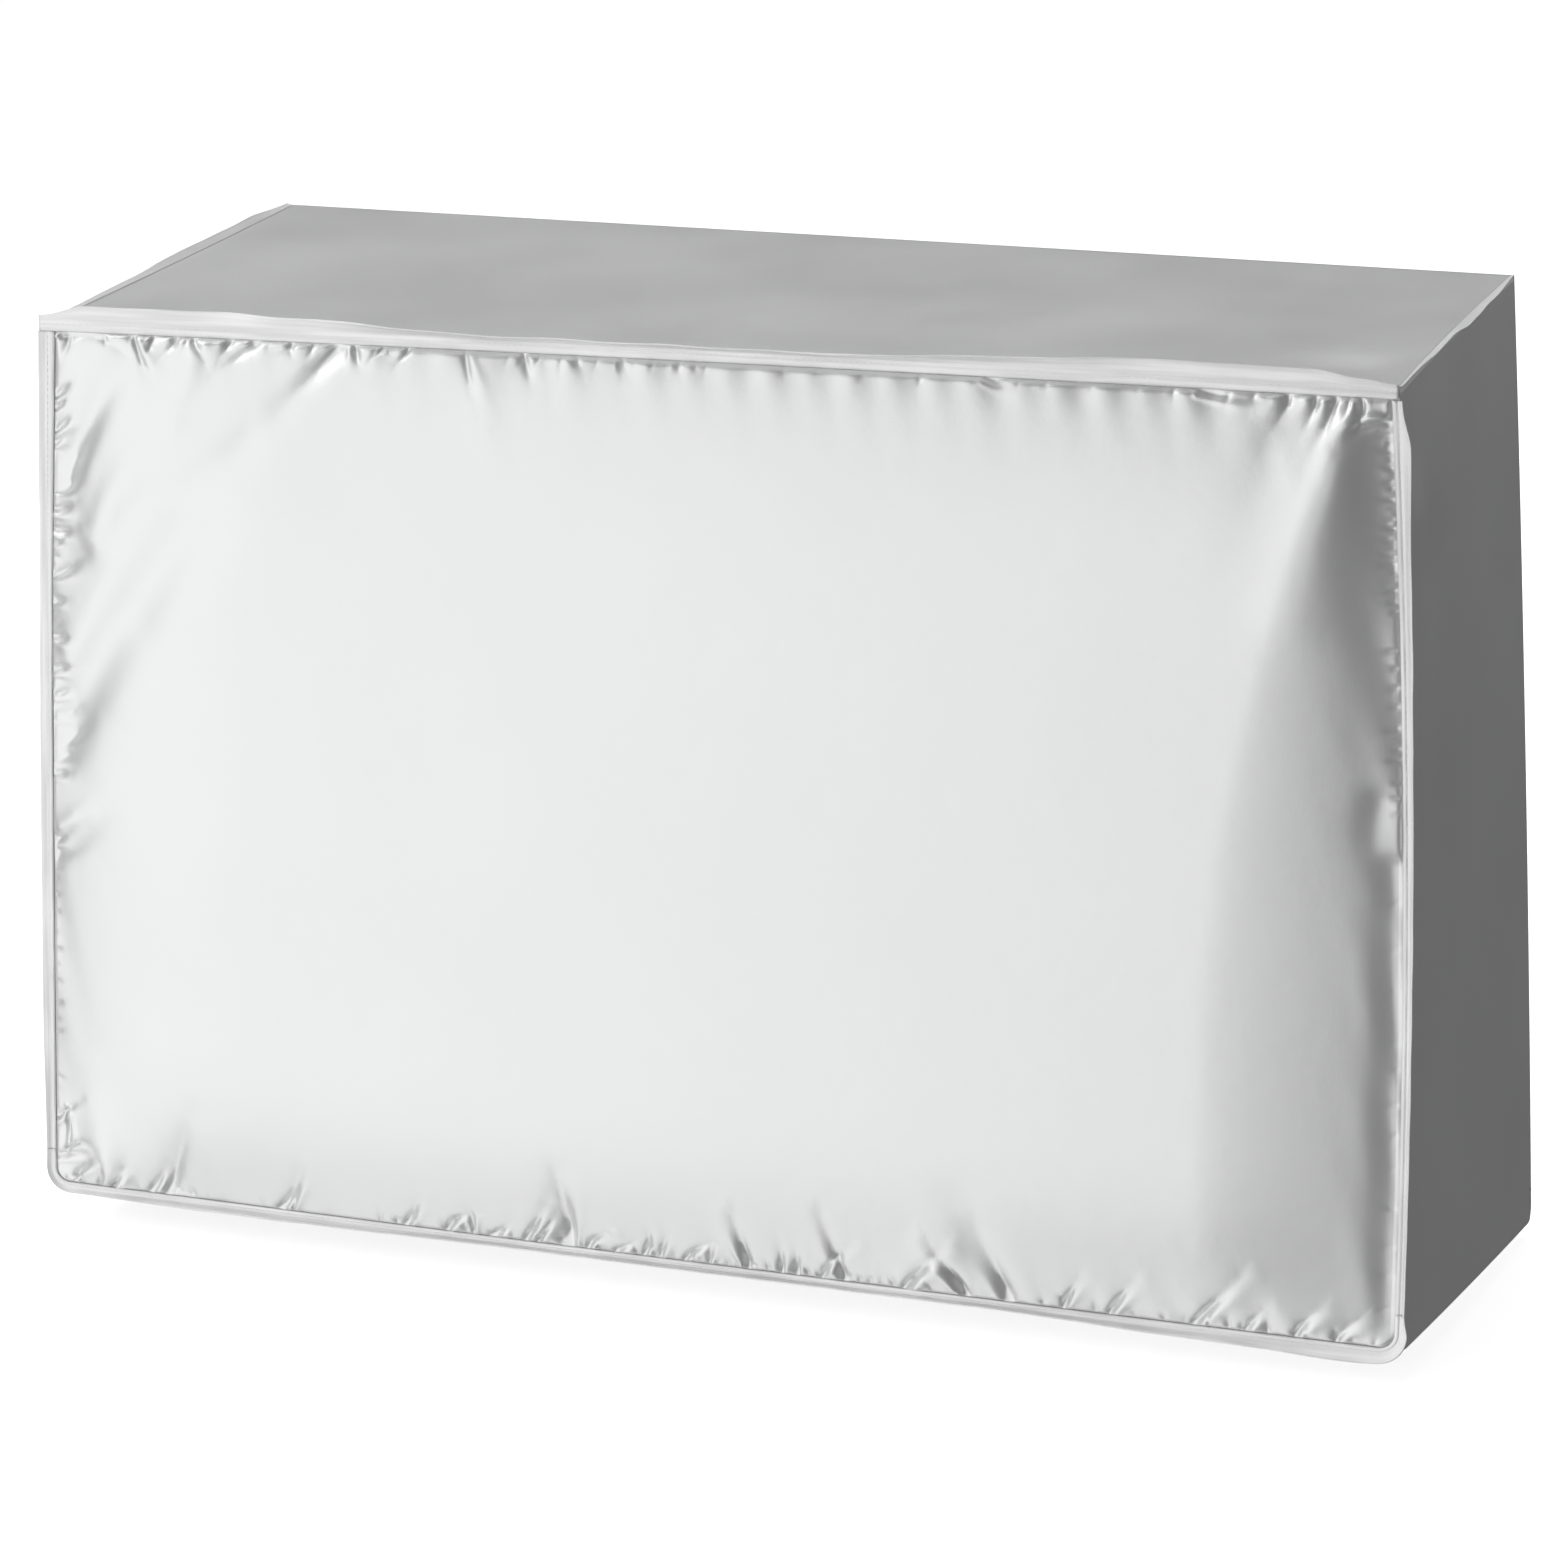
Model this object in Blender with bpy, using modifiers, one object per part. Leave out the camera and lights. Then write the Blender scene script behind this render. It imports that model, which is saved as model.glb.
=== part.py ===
"""A fitted rain cover for a box-shaped outdoor unit, sewn from silver-coated cloth.

The cover hangs over the unit: five cloth panels, open at the bottom. The front panel is cut too large
and gathered into its seams, so it puffs out. Binding frames the front, and a seam flange runs along
each side of the top.

+X is the cover's right as seen from the front, +Y its back, +Z up. The origin lies under the middle of
the top panel, where the unit carries the cover.
"""

import math
from collections import namedtuple

import bmesh
import bpy
from mathutils import Vector

# Sizes of the cover, in metres
WIDTH = 0.850
DEPTH = 0.320
HEIGHT = 0.585
CLOTH = 0.0015
GAP = 0.0003

# Binding and flanges: a strip of folded tape. The welt is the part that lies on the front panel's edge,
# and the margin is the flat edge of the panel under it.
TAPE = 0.0020
WELT = 0.0055
WELT_GAP = 0.0006
CORNER_GAP = 0.0010
MARGIN = 0.0062

# The top binding runs past each end of its seam by this much, and the bottom binding runs up each side
# of the front by this much above the round corner
BINDING_OVERRUN = 0.005
BINDING_UPRIGHT = 0.012

# The side flanges: the shares of the seam where they start and end, and how far off the seam they are
FLANGE_START = 0.022
FLANGE_END = 0.992
FLANGE_GAP = 0.0005

# Round corners of the hem, front and back
FRONT_ROUND = 0.013
BACK_ROUND = 0.008
ROUND_REACH = 0.060

# The front panel's puff: how far it stands out, and how far in from each seam it gets there
PUFF = 0.028
SEAM_PUFF = 0.008
SEAM_PUFF_REACH = 0.013
REACH_LEFT = 0.110
REACH_TOP = 0.090
REACH_BOTTOM = 0.080
# On the right the puff slopes straight down to the seam, from a crest that lies further in lower down
REACH_RIGHT_HIGH = 0.045
REACH_RIGHT_LOW = 0.150
REACH_RIGHT_DROP = 0.300
CREST_ROUND = 0.4

# The share of the puff that no fold takes away, and how far in from the margin a fold is at full depth
LEAST_PUFF = 0.12
TUCK_START = 0.006

# How a fold's width grows from its start to its end, and the share of its depth that it loses on the way
START_WIDTH = 0.8
END_WIDTH = 1.5
DEPTH_LOST = 0.85
# A fold is nothing beyond this many times its width
FOLD_LIMIT = 3

# How far in from its seams a flatter panel's soft waves are at full depth
WAVE_REACH = 0.030

# How finely the panels' cloth is divided. The front's is divided again where it bends more than this.
FRONT_STEP = 0.030
PLAIN_STEP = 0.036
BACK_STEP = 0.048
FRONT_BEND = 0.00055
FRONT_PASSES = 4
SHORTEST_EDGE = 0.0032

# How finely the seams, strips and round corners are divided
SEAM_STEPS = 24
SIDE_BINDING_STEPS = 30
TOP_BINDING_STEPS = 48
HEM_BINDING_STEPS = 44
FLANGE_STEPS = 20
ROUND_ANGLES = (25, 45, 65, 90)
ROUND_BINDING_ANGLES = (0, 15, 30, 45, 60, 75, 90)
SHARP_ANGLE = 40

MM = 0.001
TOP_Z = CLOTH

# How far each corner of the seams lies from the corner of a plain box: right, back, up, in millimetres
Shift = namedtuple("Shift", "right back up")
CORNERS = {
    "top_front_left": Shift(-1, -2, -13),
    "top_front_right": Shift(8, 1, -1),
    "top_back_right": Shift(-8, 0, 6),
    "top_back_left": Shift(8, 4, 5),
    "hem_front_left": Shift(-31, 7, 3),
    "hem_front_right": Shift(16, 8, 1),
    "hem_back_right": Shift(22, -22, -13),
    "hem_back_left": Shift(-14, -20, -6),
}

# Each seam's two ends, and how far its middle bows away from straight, in millimetres
Seam = namedtuple("Seam", "start end bow_right bow_back bow_up")
SEAMS = {
    "top_front": Seam("top_front_left", "top_front_right", 0, -2, 2),
    "top_back": Seam("top_back_left", "top_back_right", 0, 1, 0),
    "top_left": Seam("top_front_left", "top_back_left", 2, 0, 0),
    "top_right": Seam("top_front_right", "top_back_right", -3, 0, -1),
    "hem_front": Seam("hem_front_left", "hem_front_right", 0, -4, 1),
    "hem_back": Seam("hem_back_left", "hem_back_right", 0, 5, 1),
    "hem_left": Seam("hem_front_left", "hem_back_left", -3, 0, 1),
    "hem_right": Seam("hem_front_right", "hem_back_right", 1, 0, 0),
    "front_left": Seam("hem_front_left", "top_front_left", -1, 0, 0),
    "front_right": Seam("hem_front_right", "top_front_right", 6, 0, 0),
    "back_left": Seam("hem_back_left", "top_back_left", -1, 3, 0),
    "back_right": Seam("hem_back_right", "top_back_right", 1, 3, 0),
}

# Tucks that the gathering leaves along the front panel's seams, in millimetres and degrees.
# place is the distance below the top seam on the left and right, and right of the middle elsewhere.
# slant turns the tuck from square to its seam: up on the left and right, to the right elsewhere.
Tuck = namedtuple("Tuck", "place length width depth slant")
LEFT_TUCKS = (
    Tuck(46, 20, 5, 3.8, 45),
    Tuck(62, 22, 5, 4.3, 45),
    Tuck(78, 16, 5, 3.8, 40),
    Tuck(124, 18, 6, 3.8, 40),
    Tuck(143, 20, 6, 3.8, 30),
    Tuck(190, 16, 6, 3.3, 30),
    Tuck(214, 18, 6, 3.8, 35),
    Tuck(238, 20, 6, 3.8, 45),
    Tuck(262, 24, 7, 4.3, 50),
    Tuck(302, 16, 6, 3.8, 20),
    Tuck(322, 18, 6, 3.8, 25),
    Tuck(372, 12, 6, 2.8, 10),
    Tuck(412, 14, 7, 3.3, 0),
    Tuck(452, 14, 7, 3.3, 0),
)
TOP_TUCKS = (
    Tuck(-395, 24, 7, 4.0, 20),
    Tuck(-362, 26, 6, 4.0, -25),
    Tuck(-336, 22, 6, 3.5, -30),
    Tuck(-314, 34, 7, 4.0, -15),
    Tuck(-286, 22, 7, 3.0, -25),
    Tuck(-186, 20, 7, 3.0, 10),
    Tuck(-142, 30, 6, 4.0, 35),
    Tuck(-104, 26, 6, 4.0, -35),
    Tuck(-72, 14, 6, 2.5, -20),
    Tuck(-44, 14, 6, 2.5, -20),
    Tuck(-10, 12, 6, 2.5, 0),
    Tuck(198, 10, 7, 2.0, 0),
    Tuck(328, 12, 7, 2.0, 0),
    Tuck(364, 38, 7, 4.5, -25),
    Tuck(386, 30, 6, 4.5, -20),
    Tuck(407, 24, 6, 4.0, -10),
)
RIGHT_TUCKS = (
    Tuck(34, 14, 6, 2.0, 0),
    Tuck(52, 12, 6, 2.0, 10),
    Tuck(72, 12, 6, 2.0, 0),
    Tuck(96, 12, 6, 1.5, -10),
    Tuck(262, 34, 8, 3.0, -35),
    Tuck(276, 30, 8, 3.0, 30),
)
BOTTOM_TUCKS = (
    Tuck(-404, 22, 6, 4.2, 25),
    Tuck(-386, 24, 6, 4.7, 25),
    Tuck(-290, 34, 7, 5.7, 35),
    Tuck(-200, 26, 7, 5.2, -25),
    Tuck(-176, 18, 6, 4.7, 0),
    Tuck(-158, 20, 6, 4.7, 10),
    Tuck(-134, 20, 6, 4.7, 0),
    Tuck(-110, 32, 6, 5.2, 30),
    Tuck(-76, 20, 6, 4.7, -15),
    Tuck(-50, 18, 6, 4.2, 20),
    Tuck(-26, 22, 6, 4.7, -10),
    Tuck(2, 28, 6, 4.7, -25),
    Tuck(28, 20, 6, 4.7, 10),
    Tuck(54, 30, 6, 5.2, 25),
    Tuck(74, 20, 6, 4.7, -20),
    Tuck(96, 20, 6, 4.2, 15),
    Tuck(142, 22, 7, 4.2, 30),
    Tuck(168, 30, 7, 5.2, 35),
    Tuck(202, 40, 7, 5.2, -30),
    Tuck(242, 18, 7, 3.7, 10),
    Tuck(282, 30, 9, 4.2, 35),
    Tuck(330, 18, 9, 3.7, 10),
    Tuck(368, 22, 9, 4.2, 25),
    Tuck(402, 22, 8, 4.2, 30),
)

# Long folds across the front panel, in millimetres right of the middle and below the top seam.
# A fold is narrow and deep at its start, and wide and shallow at its end. A negative depth is a ridge.
Fold = namedtuple("Fold", "right drop end_right end_drop width depth")
LONG_FOLDS = (
    Fold(-412, 108, -352, 34, 13, 7.0),
    Fold(-420, 284, -333, 139, 13, 5.0),
    Fold(-424, 170, -386, 146, 9, 3.5),
    Fold(-428, 342, -388, 314, 9, 4.0),
    Fold(-422, 138, -372, 70, 12, -2.5),
    Fold(-224, 14, -360, 190, 20, 3.0),
    Fold(-420, 520, -386, 492, 12, 3.0),
    Fold(-368, 574, -330, 522, 13, 4.5),
    Fold(-88, 574, -84, 530, 9, 4.0),
    Fold(414, 30, 416, 330, 20, 5.0),
    Fold(432, 300, 432, 560, 13, 3.0),
    Fold(404, 14, 330, 300, 24, -2.5),
)

# Soft waves of the flatter panels: place across and up the panel as shares, width and depth in millimetres
Dip = namedtuple("Dip", "across up width depth")
TOP_DIPS = (Dip(0.965, 0.10, 26, 4.0), Dip(0.45, 0.55, 150, -0.5), Dip(0.08, 0.25, 60, 1.5))
RIGHT_DIPS = (Dip(0.10, 0.86, 26, -3.0), Dip(0.26, 0.80, 34, 2.5), Dip(0.50, 0.35, 110, 3.0))
LEFT_DIPS = (Dip(0.86, 0.84, 30, -2.5), Dip(0.52, 0.45, 110, 3.0))
BACK_DIPS = (Dip(0.30, 0.55, 130, 3.0), Dip(0.70, 0.40, 110, 2.5), Dip(0.90, 0.85, 40, -2.0))

# How each binding leans along its seam. lean is 0 where it points away from the front panel, in the
# panel's plane, and 90 where it points forward. along is a share of the seam, width in millimetres.
Lean = namedtuple("Lean", "along width lean")
TOP_LEANS = (
    Lean(0.00, 3.5, 40),
    Lean(0.04, 9.0, 30),
    Lean(0.15, 9.5, 35),
    Lean(0.23, 8.5, 60),
    Lean(0.34, 8.0, 82),
    Lean(0.62, 8.0, 84),
    Lean(0.76, 8.0, 60),
    Lean(0.84, 9.0, 32),
    Lean(0.95, 7.5, 35),
    Lean(1.00, 2.0, 62),
)
LEFT_LEANS = (
    Lean(0.00, 4.0, 40),
    Lean(0.30, 5.0, 35),
    Lean(0.60, 5.5, 48),
    Lean(1.00, 5.0, 40),
)
RIGHT_LEANS = (
    Lean(0.00, 1.5, 50),
    Lean(0.07, 6.5, 30),
    Lean(0.20, 5.0, 45),
    Lean(0.45, 4.0, 50),
    Lean(0.70, 3.0, 58),
    Lean(1.00, 2.5, 60),
)
BOTTOM_LEANS = (
    Lean(0.00, 3.0, 40),
    Lean(0.04, 5.0, 40),
    Lean(0.15, 4.0, 45),
    Lean(0.40, 2.5, 60),
    Lean(0.70, 2.2, 65),
    Lean(0.90, 5.0, 30),
    Lean(0.96, 6.5, 15),
    Lean(1.00, 2.5, 30),
)
# The flanges of the top's sides: 0 points out sideways, 90 straight up
RIGHT_FLANGE_LEANS = (
    Lean(0.00, 2.5, 5),
    Lean(0.25, 4.0, 10),
    Lean(0.55, 7.0, -5),
    Lean(0.80, 6.5, 5),
    Lean(1.00, 3.5, 15),
)
LEFT_FLANGE_LEANS = (
    Lean(0.00, 2.5, 15),
    Lean(0.30, 4.0, 8),
    Lean(0.50, 6.0, 30),
    Lean(0.85, 6.0, 32),
    Lean(1.00, 3.5, 25),
)

# Colours, roughness and metallic values of the two cloths
SILVER_CLOTH = ((0.72, 0.73, 0.74), 0.38, 0.35)
BINDING_TAPE = ((0.82, 0.83, 0.84), 0.45, 0.20)

FORWARD = Vector((0, -1, 0))
BACK = Vector((0, 1, 0))
LEFT = Vector((-1, 0, 0))
RIGHT = Vector((1, 0, 0))
UP = Vector((0, 0, 1))


def clear_scene():
    for obj in list(bpy.data.objects):
        bpy.data.objects.remove(obj, do_unlink=True)


def smooth(share):
    """0 to 1 with level ends."""
    share = min(max(share, 0.0), 1.0)
    return share * share * (3 - 2 * share)


def rise(distance, reach):
    """0 at the seam, rounding over to 1 at reach."""
    return math.sin(min(max(distance / reach, 0.0), 1.0) * math.pi / 2)


def between(rows, along):
    """The width and lean of a table of leans at this share of the seam."""
    for first, second in zip(rows, rows[1:]):
        if along <= second.along:
            part = smooth((along - first.along) / (second.along - first.along))
            width = first.width + (second.width - first.width) * part
            lean = first.lean + (second.lean - first.lean) * part
            return width * MM, math.radians(lean)
    return rows[-1].width * MM, math.radians(rows[-1].lean)


def slope(distance, reach):
    """0 at the seam, a straight slope, and a round crest at reach, where it is 1."""
    share = min(max(distance / reach, 0.0), 1.0)
    over = max(share - (1 - CREST_ROUND), 0.0)
    return (share - over**2 / (2 * CREST_ROUND)) / (1 - CREST_ROUND / 2)


# Seams


def corner(name):
    level, face, side = name.split("_")
    shift = CORNERS[name]
    return Vector(
        (
            (WIDTH / 2 if side == "right" else -WIDTH / 2) + shift.right * MM,
            (DEPTH / 2 if face == "back" else -DEPTH / 2) + shift.back * MM,
            TOP_Z - (HEIGHT if level == "hem" else 0) + shift.up * MM,
        )
    )


def seam_points(name):
    """Evenly spaced points of a seam, which bows a little between its corners."""
    seam = SEAMS[name]
    start = corner(seam.start)
    end = corner(seam.end)
    bow = Vector((seam.bow_right, seam.bow_back, seam.bow_up)) * MM
    points = []
    for step in range(SEAM_STEPS + 1):
        share = step / SEAM_STEPS
        points.append(start.lerp(end, share) + bow * (4 * share * (1 - share)))
    return points


SEAM_POINTS = {name: seam_points(name) for name in SEAMS}


def on_seam(name, share, backwards=False):
    """The seam's point at this share, straight between its evenly spaced points."""
    share = min(max(1 - share if backwards else share, 0.0), 1.0)
    place = share * SEAM_STEPS
    step = min(int(place), SEAM_STEPS - 1)
    return SEAM_POINTS[name][step].lerp(SEAM_POINTS[name][step + 1], place - step)


# Panels, each cut flat and then hung between four seams

# The seams below, above, left and right of a panel as it is seen from outside, whether the first two
# run backwards, the way out of the panel, the radius of its two lower corners, and what is trimmed off
# its top, left and right edges
Panel = namedtuple("Panel", "below above left right backwards outward round_left round_right trims")
BUTT = CLOTH + GAP
PANELS = {
    "front_panel": Panel(
        below="hem_front",
        above="top_front",
        left="front_left",
        right="front_right",
        backwards=False,
        outward=FORWARD,
        round_left=FRONT_ROUND,
        round_right=FRONT_ROUND,
        trims=(BUTT, 0, 0),
    ),
    "right_panel": Panel(
        below="hem_right",
        above="top_right",
        left="front_right",
        right="back_right",
        backwards=False,
        outward=RIGHT,
        round_left=FRONT_ROUND,
        round_right=BACK_ROUND,
        trims=(BUTT, BUTT, 0),
    ),
    "back_panel": Panel(
        below="hem_back",
        above="top_back",
        left="back_right",
        right="back_left",
        backwards=True,
        outward=BACK,
        round_left=BACK_ROUND,
        round_right=BACK_ROUND,
        trims=(BUTT, BUTT, BUTT),
    ),
    "left_panel": Panel(
        below="hem_left",
        above="top_left",
        left="back_left",
        right="front_left",
        backwards=True,
        outward=LEFT,
        round_left=BACK_ROUND,
        round_right=FRONT_ROUND,
        trims=(BUTT, 0, BUTT),
    ),
    "top_panel": Panel(
        below="top_front",
        above="top_back",
        left="top_left",
        right="top_right",
        backwards=False,
        outward=UP,
        round_left=0,
        round_right=0,
        trims=(GAP, GAP, GAP),
    ),
}


def panel_size(panel):
    """The panel's width and height, measured along the middle of its seams."""
    across = (on_seam(panel.left, 0.5) - on_seam(panel.right, 0.5)).length
    up = (on_seam(panel.below, 0.5) - on_seam(panel.above, 0.5)).length
    return across, up


def hung(panel, across, up):
    """The point between the four seams at these shares of the panel."""
    below = on_seam(panel.below, across, panel.backwards)
    above = on_seam(panel.above, across, panel.backwards)
    left = on_seam(panel.left, up)
    right = on_seam(panel.right, up)
    low_left = on_seam(panel.below, 0, panel.backwards)
    low_right = on_seam(panel.below, 1, panel.backwards)
    high_left = on_seam(panel.above, 0, panel.backwards)
    high_right = on_seam(panel.above, 1, panel.backwards)
    corners = low_left.lerp(low_right, across).lerp(high_left.lerp(high_right, across), up)
    return below.lerp(above, up) + left.lerp(right, across) - corners


def round_lift(distance, radius):
    """How far a round corner lifts the hem at this distance from the seam."""
    if distance >= radius:
        return 0.0
    return radius - math.sqrt(radius**2 - (radius - distance) ** 2)


def spaced(start, end, step, start_round, end_round):
    """Places from start to end, about step apart, with extra ones round the corners."""
    arc = [1 - math.cos(math.radians(angle)) for angle in ROUND_ANGLES]
    first = start + start_round
    last = end - end_round
    count = max(round((last - first) / step), 1)
    places = [start] + [start + start_round * share for share in arc if start_round]
    places += [first + (last - first) * index / count for index in range(1, count)]
    places += [end - end_round * share for share in reversed(arc) if end_round]
    return places + [end]


def cut_flat(panel, step, margin=0.0):
    """The flat cut of a panel, as a grid with its lower corners rounded off and a line round its margin."""
    width, height = panel_size(panel)
    trim_top, trim_left, trim_right = panel.trims
    places = spaced(trim_left, width - trim_right, step, panel.round_left, panel.round_right)
    low = GAP if panel.round_left == 0 else 0.0
    levels = spaced(low, height - trim_top, step, 0, 0)
    if margin:
        places = sorted(places + [margin, width - margin])
        levels = sorted(levels + [margin, height - margin])
    flat = bmesh.new()
    rows = []
    for level in levels:
        fade = max(1 - level / ROUND_REACH, 0.0)
        row = []
        for place in places:
            lift = round_lift(place - trim_left, panel.round_left)
            lift += round_lift(width - trim_right - place, panel.round_right)
            row.append(flat.verts.new((place, level + lift * fade, 0)))
        rows.append(row)
    for low_row, high_row in zip(rows, rows[1:]):
        for index in range(len(low_row) - 1):
            flat.faces.new((low_row[index], low_row[index + 1], high_row[index + 1], high_row[index]))
    return flat


def divide_where_bent(flat, shape):
    """Splits each edge whose middle lies off the straight line between its ends once the cloth is hung."""
    bmesh.ops.triangulate(flat, faces=flat.faces)
    for _ in range(FRONT_PASSES):
        bent = []
        for edge in flat.edges:
            if edge.calc_length() < SHORTEST_EDGE * 2:
                continue
            start, end = (vert.co for vert in edge.verts)
            middle = shape((start + end) / 2)
            if (middle - (shape(start) + shape(end)) / 2).length > FRONT_BEND:
                bent.append(edge)
        bmesh.ops.subdivide_edges(flat, edges=bent, cuts=1)
        bmesh.ops.triangulate(flat, faces=flat.faces)


def dip_depth(dips, across, up, width, height):
    """How far the soft waves of a flatter panel pull it in here."""
    depth = 0.0
    for dip in dips:
        distance = math.hypot((across - dip.across) * width, (up - dip.up) * height)
        depth += dip.depth * MM * math.exp(-((distance / (dip.width * MM)) ** 2))
    return depth


def plain_shape(panel, dips):
    """How a flatter panel hangs: between its seams, with soft waves that die out at them."""
    width, height = panel_size(panel)

    def shape(cut):
        across = cut.x / width
        up = cut.y / height
        edge = min(cut.x, width - cut.x, cut.y, height - cut.y)
        wave = dip_depth(dips, across, up, width, height) * smooth(edge / WAVE_REACH)
        return hung(panel, across, up) - panel.outward * wave

    return shape


# The front panel's puff, tucks and folds


def seam_distance(cut, width, height):
    """How far a point of the front panel's flat cut lies from the nearest seam, round corners included."""
    side = min(cut.x, width - cut.x)
    if side < FRONT_ROUND and cut.y < FRONT_ROUND:
        return FRONT_ROUND - math.hypot(FRONT_ROUND - side, FRONT_ROUND - cut.y)
    return min(side, cut.y, height - cut.y)


def puff(cut, width, height):
    """How far the front panel stands out here, before its folds."""
    left = rise(cut.x - MARGIN, REACH_LEFT)
    drop = rise(height - cut.y, REACH_RIGHT_DROP)
    right = slope(width - cut.x - MARGIN, REACH_RIGHT_HIGH + (REACH_RIGHT_LOW - REACH_RIGHT_HIGH) * drop)
    top = rise(height - cut.y - MARGIN, REACH_TOP)
    bottom = rise(cut.y - MARGIN, REACH_BOTTOM)
    near_seam = rise(seam_distance(cut, width, height) - MARGIN, SEAM_PUFF_REACH)
    return SEAM_PUFF * near_seam + (PUFF - SEAM_PUFF) * left * right * top * bottom


def trough(point, start, end, width, depth):
    """The depth here of a fold that is narrow and deep at its start, wide and shallow at its end."""
    line = end - start
    share = min(max((point - start).dot(line) / line.length_squared, 0.0), 1.0)
    foot = start + line * share
    reach = width * (START_WIDTH + (END_WIDTH - START_WIDTH) * share)
    distance = (point - foot).length / reach
    if distance > FOLD_LIMIT:
        return 0.0
    return depth * math.exp(-distance * distance) * (1 - DEPTH_LOST * smooth(share))


def tuck_folds(tucks, seam_start, along, inward, slanted):
    """The tucks of one seam as folds: start, end, width and depth on the flat cut."""
    folds = []
    for tuck in tucks:
        slant = math.radians(tuck.slant)
        start = seam_start + along * tuck.place * MM
        end = start + (inward * math.cos(slant) + slanted * math.sin(slant)) * tuck.length * MM
        folds.append((start, end, tuck.width * MM, tuck.depth * MM))
    return folds


def front_folds(width, height):
    """Every tuck and long fold of the front panel: start, end, width and depth on the flat cut."""
    up = Vector((0, 1))
    right = Vector((1, 0))
    folds = tuck_folds(LEFT_TUCKS, Vector((WELT, height)), -up, right, up)
    folds += tuck_folds(RIGHT_TUCKS, Vector((width - WELT, height)), -up, -right, up)
    folds += tuck_folds(TOP_TUCKS, Vector((width / 2, height - WELT)), right, -up, right)
    folds += tuck_folds(BOTTOM_TUCKS, Vector((width / 2, WELT)), right, up, right)
    for fold in LONG_FOLDS:
        start = Vector((width / 2 + fold.right * MM, height - fold.drop * MM))
        end = Vector((width / 2 + fold.end_right * MM, height - fold.end_drop * MM))
        folds.append((start, end, fold.width * MM, fold.depth * MM))
    return folds


def front_shape(panel):
    """How the front panel hangs: puffed out between its seams, with its tucks and folds pulled in."""
    width, height = panel_size(panel)
    folds = front_folds(width, height)

    def shape(cut):
        flat_point = cut.xy
        inside = seam_distance(cut, width, height) - MARGIN
        out = puff(cut, width, height)
        depth = sum(trough(flat_point, *fold) for fold in folds) * smooth(inside / TUCK_START)
        out = max(out - depth, LEAST_PUFF * out)
        return hung(panel, cut.x / width, cut.y / height) + panel.outward * out

    return shape


def make_panel(name, step, shape, margin=0.0):
    """Cuts a panel flat, hangs it and gives it its thickness. A margin means gathered cloth.

    Gathered cloth takes its thickness without evening it out, which would leave spikes in tight creases.
    """
    panel = PANELS[name]
    flat = cut_flat(panel, step, margin)
    if margin:
        divide_where_bent(flat, shape)
    for vert in flat.verts:
        vert.co = shape(vert.co.copy())
    mesh = bpy.data.meshes.new(name)
    flat.to_mesh(mesh)
    flat.free()
    mesh.shade_smooth()
    obj = bpy.data.objects.new(name, mesh)
    solidify = obj.modifiers.new("thickness", "SOLIDIFY")
    solidify.thickness = CLOTH
    solidify.offset = -1
    solidify.use_even_offset = not margin
    return obj


# Bindings and flanges, strips lofted from one section to the next


def loft(name, sections):
    """A closed strip through these sections, each a ring of points with the same count."""
    strip = bmesh.new()
    rings = [[strip.verts.new(point) for point in section] for section in sections]
    count = len(rings[0])
    for first, second in zip(rings, rings[1:]):
        for index in range(count):
            after = (index + 1) % count
            strip.faces.new((first[index], first[after], second[after], second[index]))
    strip.faces.new(rings[0])
    strip.faces.new(reversed(rings[-1]))
    bmesh.ops.recalc_face_normals(strip, faces=strip.faces)
    mesh = bpy.data.meshes.new(name)
    strip.to_mesh(mesh)
    strip.free()
    mesh.shade_smooth()
    mesh.set_sharp_from_angle(angle=math.radians(SHARP_ANGLE))
    return bpy.data.objects.new(name, mesh)


def binding_section(point, out, width, lean):
    """The binding's section at a seam point: a welt on the panel's edge, and a flange leaning off it."""
    half = TAPE / 2
    middle = WELT_GAP + half
    turn = Vector((math.cos(lean), math.sin(lean)))
    side = Vector((-turn.y, turn.x))
    mitre = Vector((-math.sin(lean / 2), math.cos(lean / 2))) * (half / math.cos(lean / 2))
    bend = Vector((CORNER_GAP, middle))
    tip = bend + turn * width
    welt_end = Vector((-WELT, middle))
    outline = (
        welt_end - Vector((0, half)),
        bend - mitre,
        tip - side * half,
        tip + side * half,
        bend + mitre,
        welt_end + Vector((0, half)),
    )
    return [point + out * place.x + FORWARD * place.y for place in outline]


def make_binding(name, path, outs, leans):
    """A binding along a path of seam points, with the way out of the panel at each."""
    last = len(path) - 1
    sections = []
    for index, (point, out) in enumerate(zip(path, outs)):
        width, lean = between(leans, index / last)
        sections.append(binding_section(point, out, width, lean))
    return loft(name, sections)


def make_flange(name, seam, sideways, leans):
    """A seam flange between the top panel and a side, standing off the edge."""
    half = TAPE / 2
    sections = []
    for step in range(FLANGE_STEPS + 1):
        part = step / FLANGE_STEPS
        width, lean = between(leans, part)
        turn = sideways * math.cos(lean) + UP * math.sin(lean)
        side = UP * math.cos(lean) - sideways * math.sin(lean)
        root = on_seam(seam, FLANGE_START + (FLANGE_END - FLANGE_START) * part) + turn * FLANGE_GAP
        tip = root + turn * width
        sections.append([root - side * half, tip - side * half, tip + side * half, root + side * half])
    return loft(name, sections)


def top_path():
    """Points along the front's top seam, running past both its ends, and their way out."""
    path = [on_seam("top_front", step / TOP_BINDING_STEPS) for step in range(TOP_BINDING_STEPS + 1)]
    path.insert(0, path[0] + LEFT * BINDING_OVERRUN)
    path.append(path[-1] + RIGHT * BINDING_OVERRUN)
    return path, [UP] * len(path)


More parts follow.
